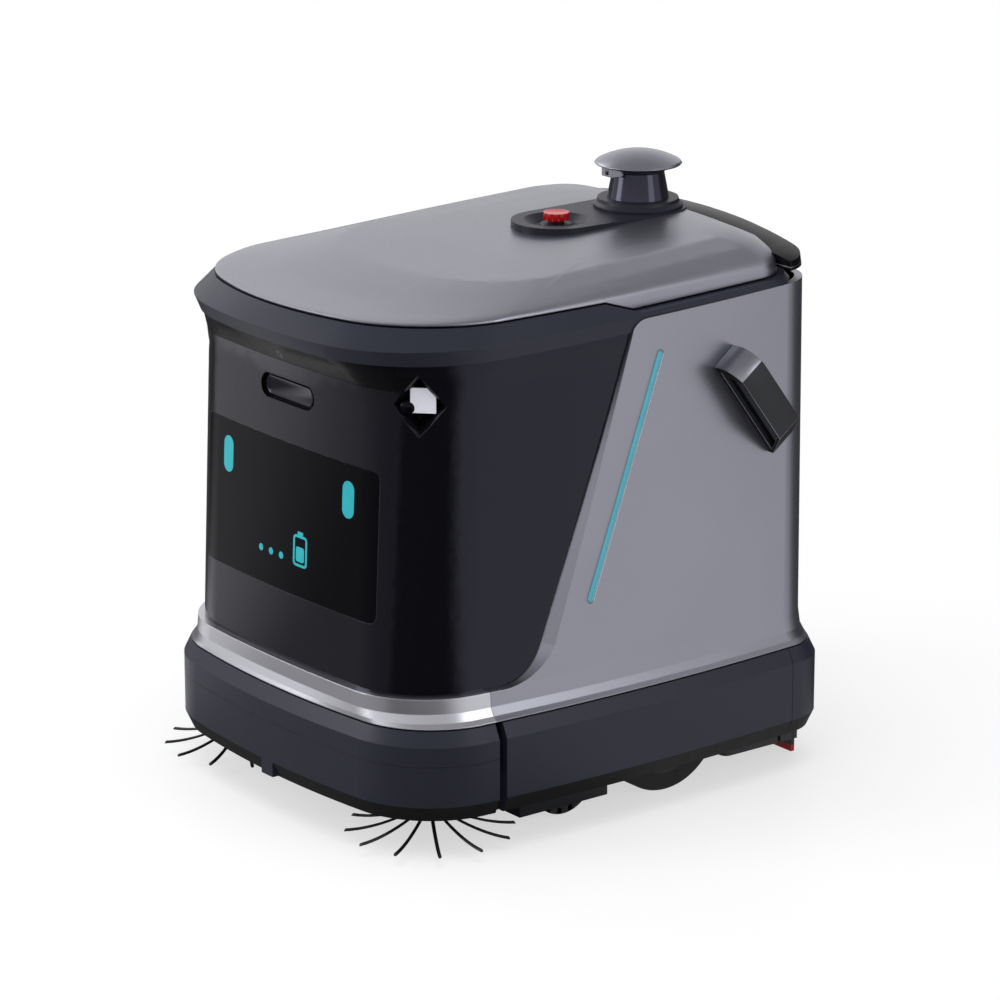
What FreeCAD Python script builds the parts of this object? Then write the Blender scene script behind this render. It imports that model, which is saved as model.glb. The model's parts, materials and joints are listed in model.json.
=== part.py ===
import FreeCAD, Part
import math
import os
import re
import Sketcher

# A compact floor-scrubbing robot. The origin is on the floor midway between the drive wheels,
# the front faces -Y, the robot's left side is +X, and heights are measured up from the floor.
# Each row: name, size in millimetres (or degrees or a count), what it measures.
DIMENSIONS = [
    ("skirt_half_width", 267, "skirt wall, half its width where it is widest"),
    ("skirt_front", 402, "skirt wall, distance ahead of the drive axle"),
    ("skirt_rear", 230, "skirt wall, distance behind the drive axle"),
    ("skirt_mid", 80, "where the skirt is widest, ahead of the drive axle"),
    ("skirt_front_bow", 1250, "radius of the bowed front of the skirt"),
    ("skirt_side_bow", 2880, "radius of the bowed sides of the skirt"),
    ("skirt_rear_bow", 2500, "radius of the bowed rear of the skirt"),
    ("skirt_front_corner", 113, "radius of the skirt's front corners"),
    ("skirt_rear_corner", 62, "radius of the skirt's rear corners"),
    ("skirt_wall", 14, "depth from the skirt's face to its inside"),
    ("skirt_chamfer", 8, "how far the skirt's top and foot are drawn in"),
    ("lip_bottom", 43.5, "height of the skirt's foot"),
    ("wall_bottom", 61, "height where the skirt's wall starts"),
    ("wall_top", 130, "height where the skirt's wall ends"),
    ("skirt_top", 146.5, "height of the skirt's upper edge"),
    ("bumper_seam", 271.5, "rear end of the bumper, ahead of the drive axle"),
    ("bumper_gap", 9.5, "gap between the bumper and the side skirts"),
    ("rear_seam", 154, "front end of the rear skirt, behind the drive axle"),
    ("tab_half_width", 11, "half width of the tab under the bumper"),
    ("bumper_pin_x", 130, "bumper's guide pins, distance from the middle"),
    ("bumper_pin_z", 110, "bumper's guide pins, height"),
    ("bumper_pin_radius", 6, "radius of the bumper's guide pins"),
    ("body_half_width", 248, "side panels, half the width over them"),
    ("body_front", 388, "front of the body plan, ahead of the drive axle"),
    ("body_rear", 225, "rear of the body plan, behind the drive axle"),
    ("body_mid", 60, "where the body is widest, ahead of the drive axle"),
    ("body_front_bow", 2000, "radius of the bowed body front"),
    ("body_side_bow", 2400, "radius of the bowed body sides"),
    ("body_rear_bow", 1100, "radius of the bowed body rear"),
    ("body_front_corner", 107, "radius of the body's front corners"),
    ("body_rear_corner", 60, "radius of the body's rear corners"),
    ("body_draft", 3, "how far the body draws in from its foot to its top"),
    ("panel_wall", 12, "depth of the side panels at their edges"),
    ("fascia_step", 7, "how far the fascia lies behind the panel faces"),
    ("fascia_wall", 4, "thickness of the fascia"),
    ("fascia_lean", 14, "how far the fascia leans back at the scoop"),
    ("band_low", 148, "lower edge of the silver band"),
    ("band_high", 179, "upper edge of the silver band at the front"),
    ("scoop_start", 500, "height where the fascia starts to scoop outward"),
    ("slant_top", 67, "panel's slanted front edge at the lid, ahead of the axle"),
    ("slant_foot", 212, "panel's slanted front edge at the band, ahead of the axle"),
    ("slant_round", 42, "radius where the slanted edge meets the band"),
    ("band_seam", 268.5, "front end of the side panels' foot, ahead of the axle"),
    ("panel_top_front", 568.5, "top of the side panel at its front end"),
    ("panel_top_rear", 577, "top of the side panel at its rear end"),
    ("panel_round", 17, "rounding of the side panel's upper front corner"),
    ("panel_bevel", 9, "width of the bevel along the foot of the slanted edge"),
    ("lid_half_width", 226, "half width of the lid"),
    ("lid_front", 389, "front of the lid, ahead of the drive axle"),
    ("lid_rear", 195, "rear of the lid, behind the drive axle"),
    ("lid_mid", 120, "where the lid is widest, ahead of the drive axle"),
    ("lid_front_bow", 435, "radius of the bowed lid front"),
    ("lid_side_bow", 6000, "radius of the bowed lid sides"),
    ("lid_rear_bow", 900, "radius of the bowed lid rear"),
    ("lid_front_corner", 146, "radius of the lid's front corners"),
    ("lid_rear_corner", 50, "radius of the lid's rear corners"),
    ("lid_wall", 4, "thickness of the lid"),
    ("crown_half_width", 95, "half width of the lid's highest field"),
    ("crown_front", 30, "front of the lid's highest field"),
    ("crown_rear", 125, "rear of the lid's highest field"),
    ("crown_mid", 0, "middle of the lid's highest field"),
    ("crown_front_bow", 300, "front bow of the lid's highest field"),
    ("crown_side_bow", 600, "side bow of the lid's highest field"),
    ("crown_rear_bow", 400, "rear bow of the lid's highest field"),
    ("crown_front_corner", 80, "front corners of the lid's highest field"),
    ("crown_rear_corner", 40, "rear corners of the lid's highest field"),
    ("crown_top", 623, "height of the lid's highest field, behind the axle"),
    ("lid_lean", 2.4, "slope of the lid's top towards the front, in degrees"),
    ("lid_pivot", 70, "where the slope of the lid starts, behind the axle"),
    ("seam_front", 589, "lower edge of the lid at the front"),
    ("seam_drop", 576, "lower edge of the lid behind the step in its side"),
    ("seam_rear", 585, "lower edge of the lid far behind the step"),
    ("step_front", 101, "front end of the step in the lid's edge, ahead of the axle"),
    ("step_rear", 61, "rear end of the step in the lid's edge, ahead of the axle"),
    ("seam_gap", 2, "gap between the lid and the collar"),
    ("far_end", 260, "beyond the rear of everything, behind the axle"),
    ("collar_half_width", 243, "half width of the collar at its crease"),
    ("collar_front", 409, "front of the collar's crease, ahead of the drive axle"),
    ("collar_rear", 209, "rear of the collar's crease, behind the drive axle"),
    ("collar_mid", 80, "where the collar is widest, ahead of the drive axle"),
    ("collar_front_bow", 620, "radius of the bowed collar front"),
    ("collar_side_bow", 4000, "radius of the bowed collar sides"),
    ("collar_rear_bow", 900, "radius of the bowed collar rear"),
    ("collar_front_corner", 154, "radius of the collar's front corners"),
    ("collar_rear_corner", 62, "radius of the collar's rear corners"),
    ("collar_low", 556, "lower edge of the collar above the axle"),
    ("collar_crease", 571, "height of the collar's widest edge above the axle"),
    ("collar_lean", 1.15, "slope of the collar's lower edge towards the front, in degrees"),
    ("collar_tuck", 10, "how far the collar's lower edge lies behind its crease at the front"),
    ("collar_inside", 12, "how far the collar reaches in under the lid"),
    ("screen_half_width", 164, "half width of the display"),
    ("screen_low", 256, "lower edge of the display"),
    ("screen_high", 427, "upper edge of the display"),
    ("screen_round", 10, "corner radius of the display"),
    ("screen_depth", 2, "thickness of the display glass"),
    ("slot_half_width", 51, "half width of the depth camera's window"),
    ("slot_height", 28, "height of the depth camera's window"),
    ("slot_middle", 484, "height of the depth camera's middle"),
    ("dot_radius", 6, "radius of the small front sensor"),
    ("dot_height", 528, "height of the small front sensor"),
    ("corner_eye_x", 203, "corner camera, distance from the middle"),
    ("corner_eye_y", 337, "corner camera, distance ahead of the axle"),
    ("corner_eye_z", 504, "corner camera, height"),
    ("corner_eye_side", 60, "edge of the faceted hollow around the corner camera"),
    ("corner_eye_lens", 13, "radius of the corner camera's lens"),
    ("strip_top_y", 38.5, "upper end of the light strip, ahead of the axle"),
    ("strip_top_z", 525, "upper end of the light strip, height"),
    ("strip_foot_y", 134.7, "lower end of the light strip, ahead of the axle"),
    ("strip_foot_z", 262, "lower end of the light strip, height"),
    ("strip_width", 8, "width of the light strip"),
    ("strip_depth", 4, "thickness of the light strip"),
    ("pod_y", 41, "sensor pod, upper front corner behind the axle"),
    ("pod_z", 497.5, "sensor pod, upper front corner height"),
    ("pod_tilt", 53, "slope of the sensor pod, in degrees"),
    ("pod_length", 142, "length of the sensor pod on the panel"),
    ("pod_width", 35, "width of the sensor pod on the panel"),
    ("pod_reach", 35, "how far the sensor pod stands out"),
    ("pod_head", 18, "length of the pod's rounded upper end"),
    ("pod_tail", 35, "length of the pod's sloping lower end"),
    ("pod_wall", 3, "wall thickness of the sensor pod"),
    ("plate_low", 74, "underside of the chassis plate"),
    ("plate_high", 80, "top of the chassis plate"),
    ("screw_radius", 5.5, "radius over the corners of the base screws' hexagon heads"),
    ("screw_height", 4, "height of the base screws' heads"),
    ("shelf_low", 204, "underside of the tank shelf"),
    ("shelf_high", 208, "top of the tank shelf"),
    ("tank_top", 440, "top of the water tanks"),
    ("tank_half_width", 160, "half width of the water tanks"),
    ("tank_round", 24, "radius of the tanks' upright edges"),
    ("cap_radius", 34, "radius of the tank caps"),
    ("cap_height", 14, "height of the tank caps"),
    ("wheel_radius", 80, "drive wheel radius"),
    ("wheel_inside", 180, "inner face of the drive wheel"),
    ("wheel_outside", 216, "outer face of the drive wheel"),
    ("rim_radius", 60, "radius where the tyre meets the rim"),
    ("shaft_radius", 8, "drive shaft radius"),
    ("running_gap", 0.06, "radial play of a shaft in its hole"),
    ("motor_radius", 38, "drive motor radius"),
    ("motor_inside", 98, "inner end of the drive motor"),
    ("motor_outside", 174, "outer end of the drive motor"),
    ("brush_x", 181, "side brush, distance from the middle"),
    ("brush_y", 308, "side brush, distance ahead of the axle"),
    ("brush_reach", 95, "radius at the side brush's tips"),
    ("brush_tip_z", 13, "height of the side brush's tips"),
    ("brush_hub_radius", 30, "radius of the side brush's hub"),
    ("brush_hub_low", 33, "underside of the side brush's hub"),
    ("brush_hub_high", 48, "top of the side brush's hub"),
    ("brush_motor_radius", 24, "radius of the side brush's motor"),
    ("tuft_radius", 1.6, "radius of a bristle tuft"),
    ("tuft_count", 12, "tufts on a side brush"),
    ("deck_half_width", 215, "half width of the scrub deck"),
    ("deck_front", 209, "front of the scrub deck, ahead of the axle"),
    ("deck_rear", 84, "rear of the scrub deck, ahead of the axle"),
    ("deck_low", 12, "underside of the scrub deck"),
    ("deck_high", 98, "top of the scrub deck"),
    ("roller_y", 146.5, "roller axis, ahead of the drive axle"),
    ("roller_z", 47, "roller axis, height"),
    ("roller_radius", 44, "radius of the roller over its bristles"),
    ("guide_x", 150, "deck guide rods, distance from the middle"),
    ("guide_radius", 8, "radius of the guide rods"),
    ("squeegee_half_width", 212, "half width of the squeegee"),
    ("squeegee_front", 92, "front of the squeegee, behind the axle"),
    ("squeegee_rear", 178, "rear of the squeegee's tray, behind the axle"),
    ("squeegee_low", 17, "underside of the squeegee's tray"),
    ("squeegee_high", 42, "top of the squeegee's tray"),
    ("blade_y", 196, "rear blade, behind the axle"),
    ("blade_foot", 2, "lower edge of the blades"),
    ("blade_thick", 5, "thickness of the blades"),
    ("post_x", 120, "squeegee lift posts, distance from the middle"),
    ("post_y", 130, "squeegee lift posts, behind the axle"),
    ("caster_x", 45, "casters, distance from the middle"),
    ("caster_y", 285, "casters, ahead of the axle"),
    ("caster_radius", 24, "caster wheel radius"),
    ("caster_trail", 12, "caster trail"),
    ("caster_stem", 6, "radius of the caster's stem"),
    ("estop_y", 8, "emergency stop, behind the axle"),
    ("estop_radius", 15, "radius of the emergency stop's head"),
    ("dish_radius", 52, "radius of the deck plate's round front"),
    ("tower_y", 128, "scanner tower, behind the axle"),
    ("tower_plate_radius", 56, "radius of the deck plate under the tower"),
    ("deck_plate_top", 626.5, "top of the oval plate on the lid"),
    ("deck_plate_low", 600, "underside of the oval plate on the lid"),
    ("tower_ring_top", 637, "top of the tower's base ring"),
    ("tower_neck", 668, "height where the tower's cap starts"),
    ("tower_rim", 677, "height of the cap's rim"),
    ("tower_top", 692.5, "top of the tower"),
    ("tower_cap_radius", 50.6, "radius of the tower's cap"),
    ("hinge_y", 221, "lid hinge axis, behind the axle"),
    ("hinge_z", 586.5, "lid hinge axis, height"),
    ("hinge_x", 120, "lid hinges, distance from the middle"),
    ("hinge_pin", 2.5, "radius of the lid's hinge pins"),
    ("hinge_knuckle", 4.5, "radius of the lid's hinge knuckles"),
    ("bar_low", 588, "underside of the rear bar"),
    ("bar_top", 617, "top of the rear bar at its middle"),
    ("bar_fall", 21, "how much lower the rear bar is at the robot's sides"),
    ("bar_front", 160, "front ends of the rear bar, behind the axle"),
]

PLAN_SIZES = ("half_width", "front", "rear", "mid", "front_bow", "side_bow", "rear_bow",
              "front_corner", "rear_corner")
NAME = re.compile(r"\b[a-z][a-z_]+\b(?!\()")
V = FreeCAD.Vector
UP = V(0, 0, 1)

doc = FreeCAD.newDocument("cleaning_robot")
sheet = doc.addObject("Spreadsheet::Sheet", "Dims")
for row, (alias, size, note) in enumerate(DIMENSIONS, start=1):
    sheet.set("A%d" % row, note)
    sheet.set("B%d" % row, str(size))
    sheet.setAlias("B%d" % row, alias)
doc.recompute()

pieces = []


def expression(text):
    """The text of a formula, with each name pointing at its cell in the sheet."""
    return NAME.sub(lambda word: "Dims." + word.group(0), text)


def measure(text):
    """The present value of a formula."""
    return float(sheet.evalExpression(text))


def bind(item, sizes):
    for name, text in sizes.items():
        item.setExpression(name, expression(text))
    return item


def place(item, x="0", y="0", z="0"):
    return bind(item, {"Placement.Base.x": x, "Placement.Base.y": y, "Placement.Base.z": z})


def piece(label, item):
    """Name a finished sub-part."""
    item.Label = label
    pieces.append(item)
    return item


# Plans and sketches

def plan(name):
    """The formulas of one plan outline."""
    return {size: name + "_" + size for size in PLAN_SIZES}


def mix(first, second, share):
    """A plan between two others."""
    return {size: "(%s) * %g + (%s) * %g" % (first[size], 1 - share, second[size], share)
            for size in PLAN_SIZES}


def corner_centre(first, first_radius, second, second_radius, towards):
    """Where two circles cross, on the side of a given point."""
    line = second - first
    along = (first_radius ** 2 - second_radius ** 2 + line.Length ** 2) / (2 * line.Length)
    across = math.sqrt(first_radius ** 2 - along ** 2)
    foot = first + line.normalize() * along
    side = UP.cross(line) * across
    return min(foot + side, foot - side, key=lambda point: (point - towards).Length)


def lean(sketch, height, pivot, degrees):
    """Tip a plan forward about a line across the robot, at a distance behind the axle."""
    sketch.Placement = FreeCAD.Placement(V(), FreeCAD.Rotation(V(1, 0, 0), 1))
    bind(sketch, {"Placement.Rotation.Angle": degrees})
    place(sketch, y="(%s) * (1 - cos(%s))" % (pivot, degrees),
          z="%s - (%s) * sin(%s)" % (height, pivot, degrees))


def outline(name, sizes, height, inset="0", pivot="0", degrees="0"):
    """A closed plan of eight tangent arcs at a height, drawn in by an inset and tipped forward."""
    sketch = doc.addObject("Sketcher::SketchObject", name)
    if degrees == "0":
        place(sketch, z=height)
    else:
        lean(sketch, height, pivot, degrees)
    now = {key: measure(text) for key, text in sizes.items()}
    front = V(0, now["front_bow"] - now["front"])
    rear = V(0, now["rear"] - now["rear_bow"])
    right = V(now["half_width"] - now["side_bow"], -now["mid"])
    left = V(-right.x, right.y)
    reach = V(now["half_width"], 0)
    ahead = V(0, -now["front"])
    behind = V(0, now["rear"])

    def corner(end, end_bow, side, size, towards):
        return corner_centre(end, now[end_bow] - now[size], side, now["side_bow"] - now[size], towards)

    arcs = [
        (front, "front_bow"),
        (corner(front, "front_bow", right, "front_corner", ahead + reach), "front_corner"),
        (right, "side_bow"),
        (corner(rear, "rear_bow", right, "rear_corner", behind + reach), "rear_corner"),
        (rear, "rear_bow"),
        (corner(rear, "rear_bow", left, "rear_corner", behind - reach), "rear_corner"),
        (left, "side_bow"),
        (corner(front, "front_bow", left, "front_corner", ahead - reach), "front_corner"),
    ]
    count = len(arcs)
    joints = []
    for index in range(count):
        big, small = (index, index + 1) if index % 2 == 0 else (index + 1, index)
        line = arcs[small % count][0] - arcs[big % count][0]
        joints.append(math.atan2(line.y, line.x))
    for index, (centre, size) in enumerate(arcs):
        start = joints[index - 1]
        turn = (joints[index] - start) % (2 * math.pi)
        circle = Part.Circle(centre, UP, now[size] - measure(inset))
        sketch.addGeometry(Part.ArcOfCircle(circle, start, start + turn), False)
    for index in range(count):
        sketch.addConstraint(Sketcher.Constraint("Tangent", index, 2, (index + 1) % count, 1))
    for index, (centre, size) in enumerate(arcs):
        formula = "%s - (%s)" % (sizes[size], inset)
        radius = sketch.addConstraint(Sketcher.Constraint("Radius", index, measure(formula)))
        sketch.setExpression("Constraints[%d]" % radius, expression(formula))
    bow_x = "%s - (%s)" % (sizes["half_width"], sizes["side_bow"])
    pin(sketch, 0, 3, "0", "%s - (%s)" % (sizes["front_bow"], sizes["front"]))
    pin(sketch, 2, 3, bow_x, "-(%s)" % sizes["mid"])
    pin(sketch, 4, 3, "0", "%s - (%s)" % (sizes["rear"], sizes["rear_bow"]))
    pin(sketch, 6, 3, "-(%s)" % bow_x, "-(%s)" % sizes["mid"])
    return sketch


def pin(sketch, geometry, point, x, y):
    """Hold a point of a sketch at formulas for its two coordinates."""
    for kind, axis, text in (("DistanceX", -2, x), ("DistanceY", -1, y)):
        value = measure(text)
        if text == "0":
            sketch.addConstraint(Sketcher.Constraint("PointOnObject", geometry, point, axis))
        elif value >= 0:
            held = sketch.addConstraint(Sketcher.Constraint(kind, -1, 1, geometry, point, value))
            sketch.setExpression("Constraints[%d]" % held, expression(text))
        else:
            held = sketch.addConstraint(Sketcher.Constraint(kind, geometry, point, -1, 1, -value))
            sketch.setExpression("Constraints[%d]" % held, expression("-(%s)" % text))


def draw(sketch, corners):
    """Draw a closed outline. A corner with four formulas bends the line after it through a point."""
    points = [V(measure(corner[0]), measure(corner[1])) for corner in corners]
    ends = []
    for index, corner in enumerate(corners):
        start = points[index]
        end = points[(index + 1) % len(points)]
        if len(corner) == 2:
            sketch.addGeometry(Part.LineSegment(start, end), False)
            ends.append((1, 2))
        else:
            middle = V(measure(corner[2]), measure(corner[3]))
            sketch.addGeometry(Part.Arc(start, middle, end), False)
            first = sketch.getPoint(index, 1)
            ends.append((1, 2) if (first - start).Length < (first - end).Length else (2, 1))
    for index, corner in enumerate(corners):
        after = (index + 1) % len(corners)
        link = Sketcher.Constraint("Coincident", index, ends[index][1], after, ends[after][0])
        sketch.addConstraint(link)
    for index, corner in enumerate(corners):
        pin(sketch, index, ends[index][0], corner[0], corner[1])
        if len(corner) == 4:
            mark = sketch.addGeometry(Part.Point(V(measure(corner[2]), measure(corner[3]))), True)
            sketch.addConstraint(Sketcher.Constraint("PointOnObject", mark, 1, index))
            pin(sketch, mark, 1, corner[2], corner[3])
    return sketch


SIDE_VIEW = FreeCAD.Rotation(V(0, 1, 0), V(0, 0, 1), V(1, 0, 0), "XYZ")
FRONT_VIEW = FreeCAD.Rotation(V(1, 0, 0), V(0, 0, 1), V(0, -1, 0), "XYZ")
PLAN_VIEW = FreeCAD.Rotation()


def profile(name, view, corners, x="0", y="0", z="0"):
    """A closed outline drawn in one of the three views, at a place."""
    sketch = doc.addObject("Sketcher::SketchObject", name)
    sketch.Placement = FreeCAD.Placement(V(), view)
    place(sketch, x, y, z)
    return draw(sketch, corners)


# Solids

def loft(name, sections):
    item = doc.addObject("Part::Loft", name)
    item.Sections = sections
    item.Solid = True
    item.Ruled = True
    return item


def extrude(name, sketch, length, back="0"):
    item = doc.addObject("Part::Extrusion", name)
    item.Base = sketch
    item.DirMode = "Normal"
    item.Solid = True
    return bind(item, {"LengthFwd": length, "LengthRev": back})


def revolve(name, sketch, axis, x="0", y="0", z="0"):
    item = doc.addObject("Part::Revolution", name)
    item.Source = sketch
    item.Axis = axis
    item.Angle = 360
    item.Solid = True
    return bind(item, {"Base.x": x, "Base.y": y, "Base.z": z})


def box(name, x, y, z):
    """A box between two formulas on each axis."""
    item = doc.addObject("Part::Box", name)
    bind(item, {"Length": "(%s) - (%s)" % (x[1], x[0]), "Width": "(%s) - (%s)" % (y[1], y[0]),
                "Height": "(%s) - (%s)" % (z[1], z[0])})
    return place(item, x[0], y[0], z[0])


AXIS_TURNS = {"x": FreeCAD.Rotation(V(0, 1, 0), 90), "y": FreeCAD.Rotation(V(1, 0, 0), -90),
              "z": FreeCAD.Rotation()}


def cylinder(name, radius, axis, span, first, second):
    """A cylinder along an axis, between two formulas, at formulas for the other two axes."""
    item = doc.addObject("Part::Cylinder", name)
    item.Placement = FreeCAD.Placement(V(), AXIS_TURNS[axis])
    bind(item, {"Radius": radius, "Height": "(%s) - (%s)" % (span[1], span[0])})
    spots = {"x": (span[0], first, second), "y": (first, span[0], second), "z": (first, second, span[0])}
    return place(item, *spots[axis])


def cut(name, base, *tools):
    for index, tool in enumerate(tools):
        item = doc.addObject("Part::Cut", name if index == len(tools) - 1 else name + "_cut")
        item.Base = base
        item.Tool = tool
        base = item
    return base


def common(name, base, *tools):
    for index, tool in enumerate(tools):
        item = doc.addObject("Part::Common", name if index == len(tools) - 1 else name + "_trim")
        item.Base = base
        item.Tool = tool
        base = item
    return base


def fuse(name, *items):
    item = doc.addObject("Part::MultiFuse", name)
    item.Shapes = list(items)
    return item


def together(name, *items):
    """Separate solids of one sub-part."""
    item = doc.addObject("Part::Compound", name)
    item.Links = list(items)
    return item


def mirrored(name, item):
    twin = doc.addObject("Part::Mirroring", name)
    twin.Source = item
    twin.Normal = V(1, 0, 0)
    return twin


def pair(name, item):
    """A piece and its mirror image as separate solids."""
    return together(name, item, mirrored(name + "_twin", item))


# Part design bodies

def body_sketch(body, name, role):
    sketch = body.newObject("Sketcher::SketchObject", name)
    plane = next(item for item in body.Origin.OriginFeatures if item.Role == role)
    sketch.AttachmentSupport = [(plane, "")]
    sketch.MapMode = "FlatFace"
    return sketch


def upright_edges(shape):
    """Names of a shape's straight edges along Z."""
    names = []
    for index, edge in enumerate(shape.Edges, start=1):
        line = edge.Vertexes[-1].Point - edge.Vertexes[0].Point
        if abs(line.z) > 1 and math.hypot(line.x, line.y) < 1e-6:
            names.append("Edge%d" % index)
    return names


def padded_body(name, corners, low, high):
    """A body padded upwards from a plan outline."""
    body = doc.addObject("PartDesign::Body", name)
    sketch = draw(body_sketch(body, name + "_plan", "XY_Plane"), corners)
    pad = body.newObject("PartDesign::Pad", name + "_pad")
    pad.Profile = sketch
    bind(pad, {"Length": "(%s) - (%s)" % (high, low)})
    place(body, z=low)
    return body, pad


def rounded_body(name, corners, low, high, radius):
    """A padded body with rounded upright edges."""
    body, pad = padded_body(name, corners, low, high)
    doc.recompute()
    fillet = body.newObject("PartDesign::Fillet", name + "_rounds")
    fillet.Base = (pad, upright_edges(pad.Shape))
    bind(fillet, {"Radius": radius})
    body.Tip = fillet
    return body


def rectangle(x, y):
    return [(x[0], y[0]), (x[1], y[0]), (x[1], y[1]), (x[0], y[1])]


SKIRT = plan("skirt")
BODY = plan("body")
LID = plan("lid")
COLLAR = plan("collar")
COLLAR_FOOT = dict(COLLAR, front="collar_front - collar_tuck", front_bow="collar_front_bow * 1.3")
CROWN = plan("crown")
WIDE = ("-2 * skirt_half_width", "2 * skirt_half_width")
LEFT = ("0", "2 * skirt_half_width")
TALL = ("0", "tower_top")


# Skirt: bumper, side skirts and rear skirt cut from one chamfered ring

skirt_outside = loft("skirt_outside", [
    outline("skirt_foot", SKIRT, "lip_bottom", "skirt_chamfer"),
    outline("skirt_low", SKIRT, "wall_bottom"),
    outline("skirt_high", SKIRT, "wall_top"),
    outline("skirt_rim", SKIRT, "skirt_top", "skirt_chamfer"),
])
skirt_inside = extrude("skirt_inside", outline("skirt_hollow", SKIRT, "lip_bottom", "skirt_wall"),
                       "skirt_top - lip_bottom")
skirt_ring = cut("skirt_ring", skirt_outside, skirt_inside)

front_zone = box("front_zone", WIDE, ("-2 * skirt_front", "-bumper_seam"), TALL)
tab_block = extrude("tab_block", outline("tab_plan", SKIRT, "lip_bottom"), "wall_bottom - lip_bottom")
tab_zone = box("tab_zone", ("-tab_half_width", "tab_half_width"),
               ("-skirt_front", "-skirt_front + skirt_chamfer"), TALL)
bumper_tab = common("bumper_tab", tab_block, tab_zone)
bumper_beam = common("bumper_beam", skirt_inside,
                     box("beam_zone", ("-150", "150"), ("-skirt_front", "-skirt_front + 30"),
                         ("98", "122")))
bumper_pins = [cylinder("bumper_pin_" + side, "bumper_pin_radius", "y", ("-skirt_front + 29", "-326"),
                        sign + "bumper_pin_x", "bumper_pin_z")
               for side, sign in (("left", ""), ("right", "-"))]
piece("bumper_shell", fuse("bumper_shell", common("bumper_wall", skirt_ring, front_zone),
                           bumper_tab, bumper_beam, *bumper_pins))

side_zone = box("side_zone", LEFT, ("-bumper_seam + bumper_gap", "rear_seam"), TALL)
left_skirt = piece("left_side_skirt", common("left_side_skirt", skirt_ring, side_zone))
piece("right_side_skirt", mirrored("right_side_skirt", left_skirt))

rear_zone = box("rear_zone", WIDE, ("rear_seam + 0.6", "far_end"), TALL)
charge_block = box("charge_block", ("-60", "60"), ("skirt_rear - skirt_wall", "skirt_rear + 2"),
                   ("76", "118"))
contact_slots = [box("contact_slot_" + side, (low, high), ("skirt_rear", "skirt_rear + 2"), ("88", "106"))
                 for side, low, high in (("left", "16", "44"), ("right", "-44", "-16"))]
piece("rear_skirt", cut("rear_skirt", fuse("rear_wall", common("rear_wall_ring", skirt_ring, rear_zone),
                                           charge_block), *contact_slots))
piece("charge_contacts", together("charge_contacts", *contact_slots))


# Body: side panels, rear cover and front band cut from one flared ring

body_outside = loft("body_outside", [
    outline("flare_foot", SKIRT, "band_low", "skirt_chamfer + 1"),
    outline("flare_low", mix(SKIRT, BODY, 0.5), "band_low + 5", "skirt_chamfer * 0.5"),
    outline("flare_mid", mix(SKIRT, BODY, 0.82), "band_low + 14", "2"),
    outline("flare_top", BODY, "band_low + 34"),
    outline("body_top", BODY, "seam_rear", "body_draft"),
])
body_inside = extrude("body_inside", outline("body_hollow", BODY, "band_low", "panel_wall"),
                      "seam_rear - band_low")
body_ring = cut("body_ring", body_outside, body_inside)

slant_run = "((slant_foot - slant_top) / (seam_rear - band_high))"
panel_corner = "(-slant_top - %s * (seam_rear - panel_top_front))" % slant_run
round_start = "(-slant_foot + %s * slant_round)" % slant_run
round_end = "(-slant_foot - 1.06 * slant_round)"
panel_sheet = extrude("panel_sheet", profile("panel_edges", SIDE_VIEW, [
    (panel_corner + " + panel_round", "panel_top_front",
     panel_corner + " + 0.184 * panel_round", "panel_top_front - 0.26 * panel_round"),
    ("%s - %s * 0.943 * panel_round" % (panel_corner, slant_run), "panel_top_front - 0.943 * panel_round"),
    (round_start, "band_high + slant_round",
     "-slant_foot - 0.195 * slant_round", "band_high + 0.276 * slant_round"),
    (round_end, "band_high"),
    ("-band_seam", "band_high"),
    ("-band_seam", "band_low"),
    ("far_end", "band_low"),
    ("far_end", "panel_top_rear"),
]), "2 * skirt_half_width", "2 * skirt_half_width")


def bevel_edge(name, depth, wider):
    """The side view ahead of the panel's edge, moved back along the slant by a share of the bevel."""
    return profile(name, SIDE_VIEW, [
        ("-2 * skirt_front", "seam_rear"),
        ("-slant_top", "seam_rear"),
        ("%s + 0.943 * (%s)" % (round_start, wider), "band_high + slant_round - 0.334 * (%s)" % wider,
         "-slant_foot - 0.195 * slant_round + 0.26 * (%s)" % wider,
         "band_high + 0.276 * slant_round - 0.36 * (%s)" % wider),
        (round_end, "band_high"),
        ("-band_seam", "band_high"),
        ("-2 * skirt_front", "band_high"),
    ], x=depth)


bevel_tool = loft("bevel_tool", [bevel_edge("bevel_inner", "body_half_width - 16", "0"),
                                 bevel_edge("bevel_outer", "body_half_width + 8", "3 * panel_bevel")])
strip_run = "(strip_foot_y - strip_top_y)"
strip_rise = "(strip_top_z - strip_foot_z)"
strip_half = "(strip_width / 2 / sqrt(%s * %s + %s * %s))" % (strip_run, strip_run, strip_rise, strip_rise)
strip_across = ("%s * %s" % (strip_rise, strip_half), "%s * %s" % (strip_run, strip_half))
strip_bar = extrude("strip_bar", profile("strip_edges", SIDE_VIEW, [
    ("-strip_foot_y - " + strip_across[0], "strip_foot_z + " + strip_across[1],
     "-strip_foot_y - " + strip_across[1], "strip_foot_z - " + strip_across[0]),
    ("-strip_foot_y + " + strip_across[0], "strip_foot_z - " + strip_across[1]),
    ("-strip_top_y + " + strip_across[0], "strip_top_z - " + strip_across[1],
     "-strip_top_y + " + strip_across[1], "strip_top_z + " + strip_across[0]),
    ("-strip_top_y - " + strip_across[0], "strip_top_z + " + strip_across[1]),
]), "skirt_half_width")
strip_skin = extrude("strip_skin", outline("strip_back", BODY, "band_low", "strip_depth"),
                     "seam_rear - band_low")
light_strip = cut("light_strip", common("strip_face", strip_bar, body_outside), strip_skin)
rear_field = box("rear_field", ("-150", "150"), ("100", "far_end"), TALL)
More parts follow.
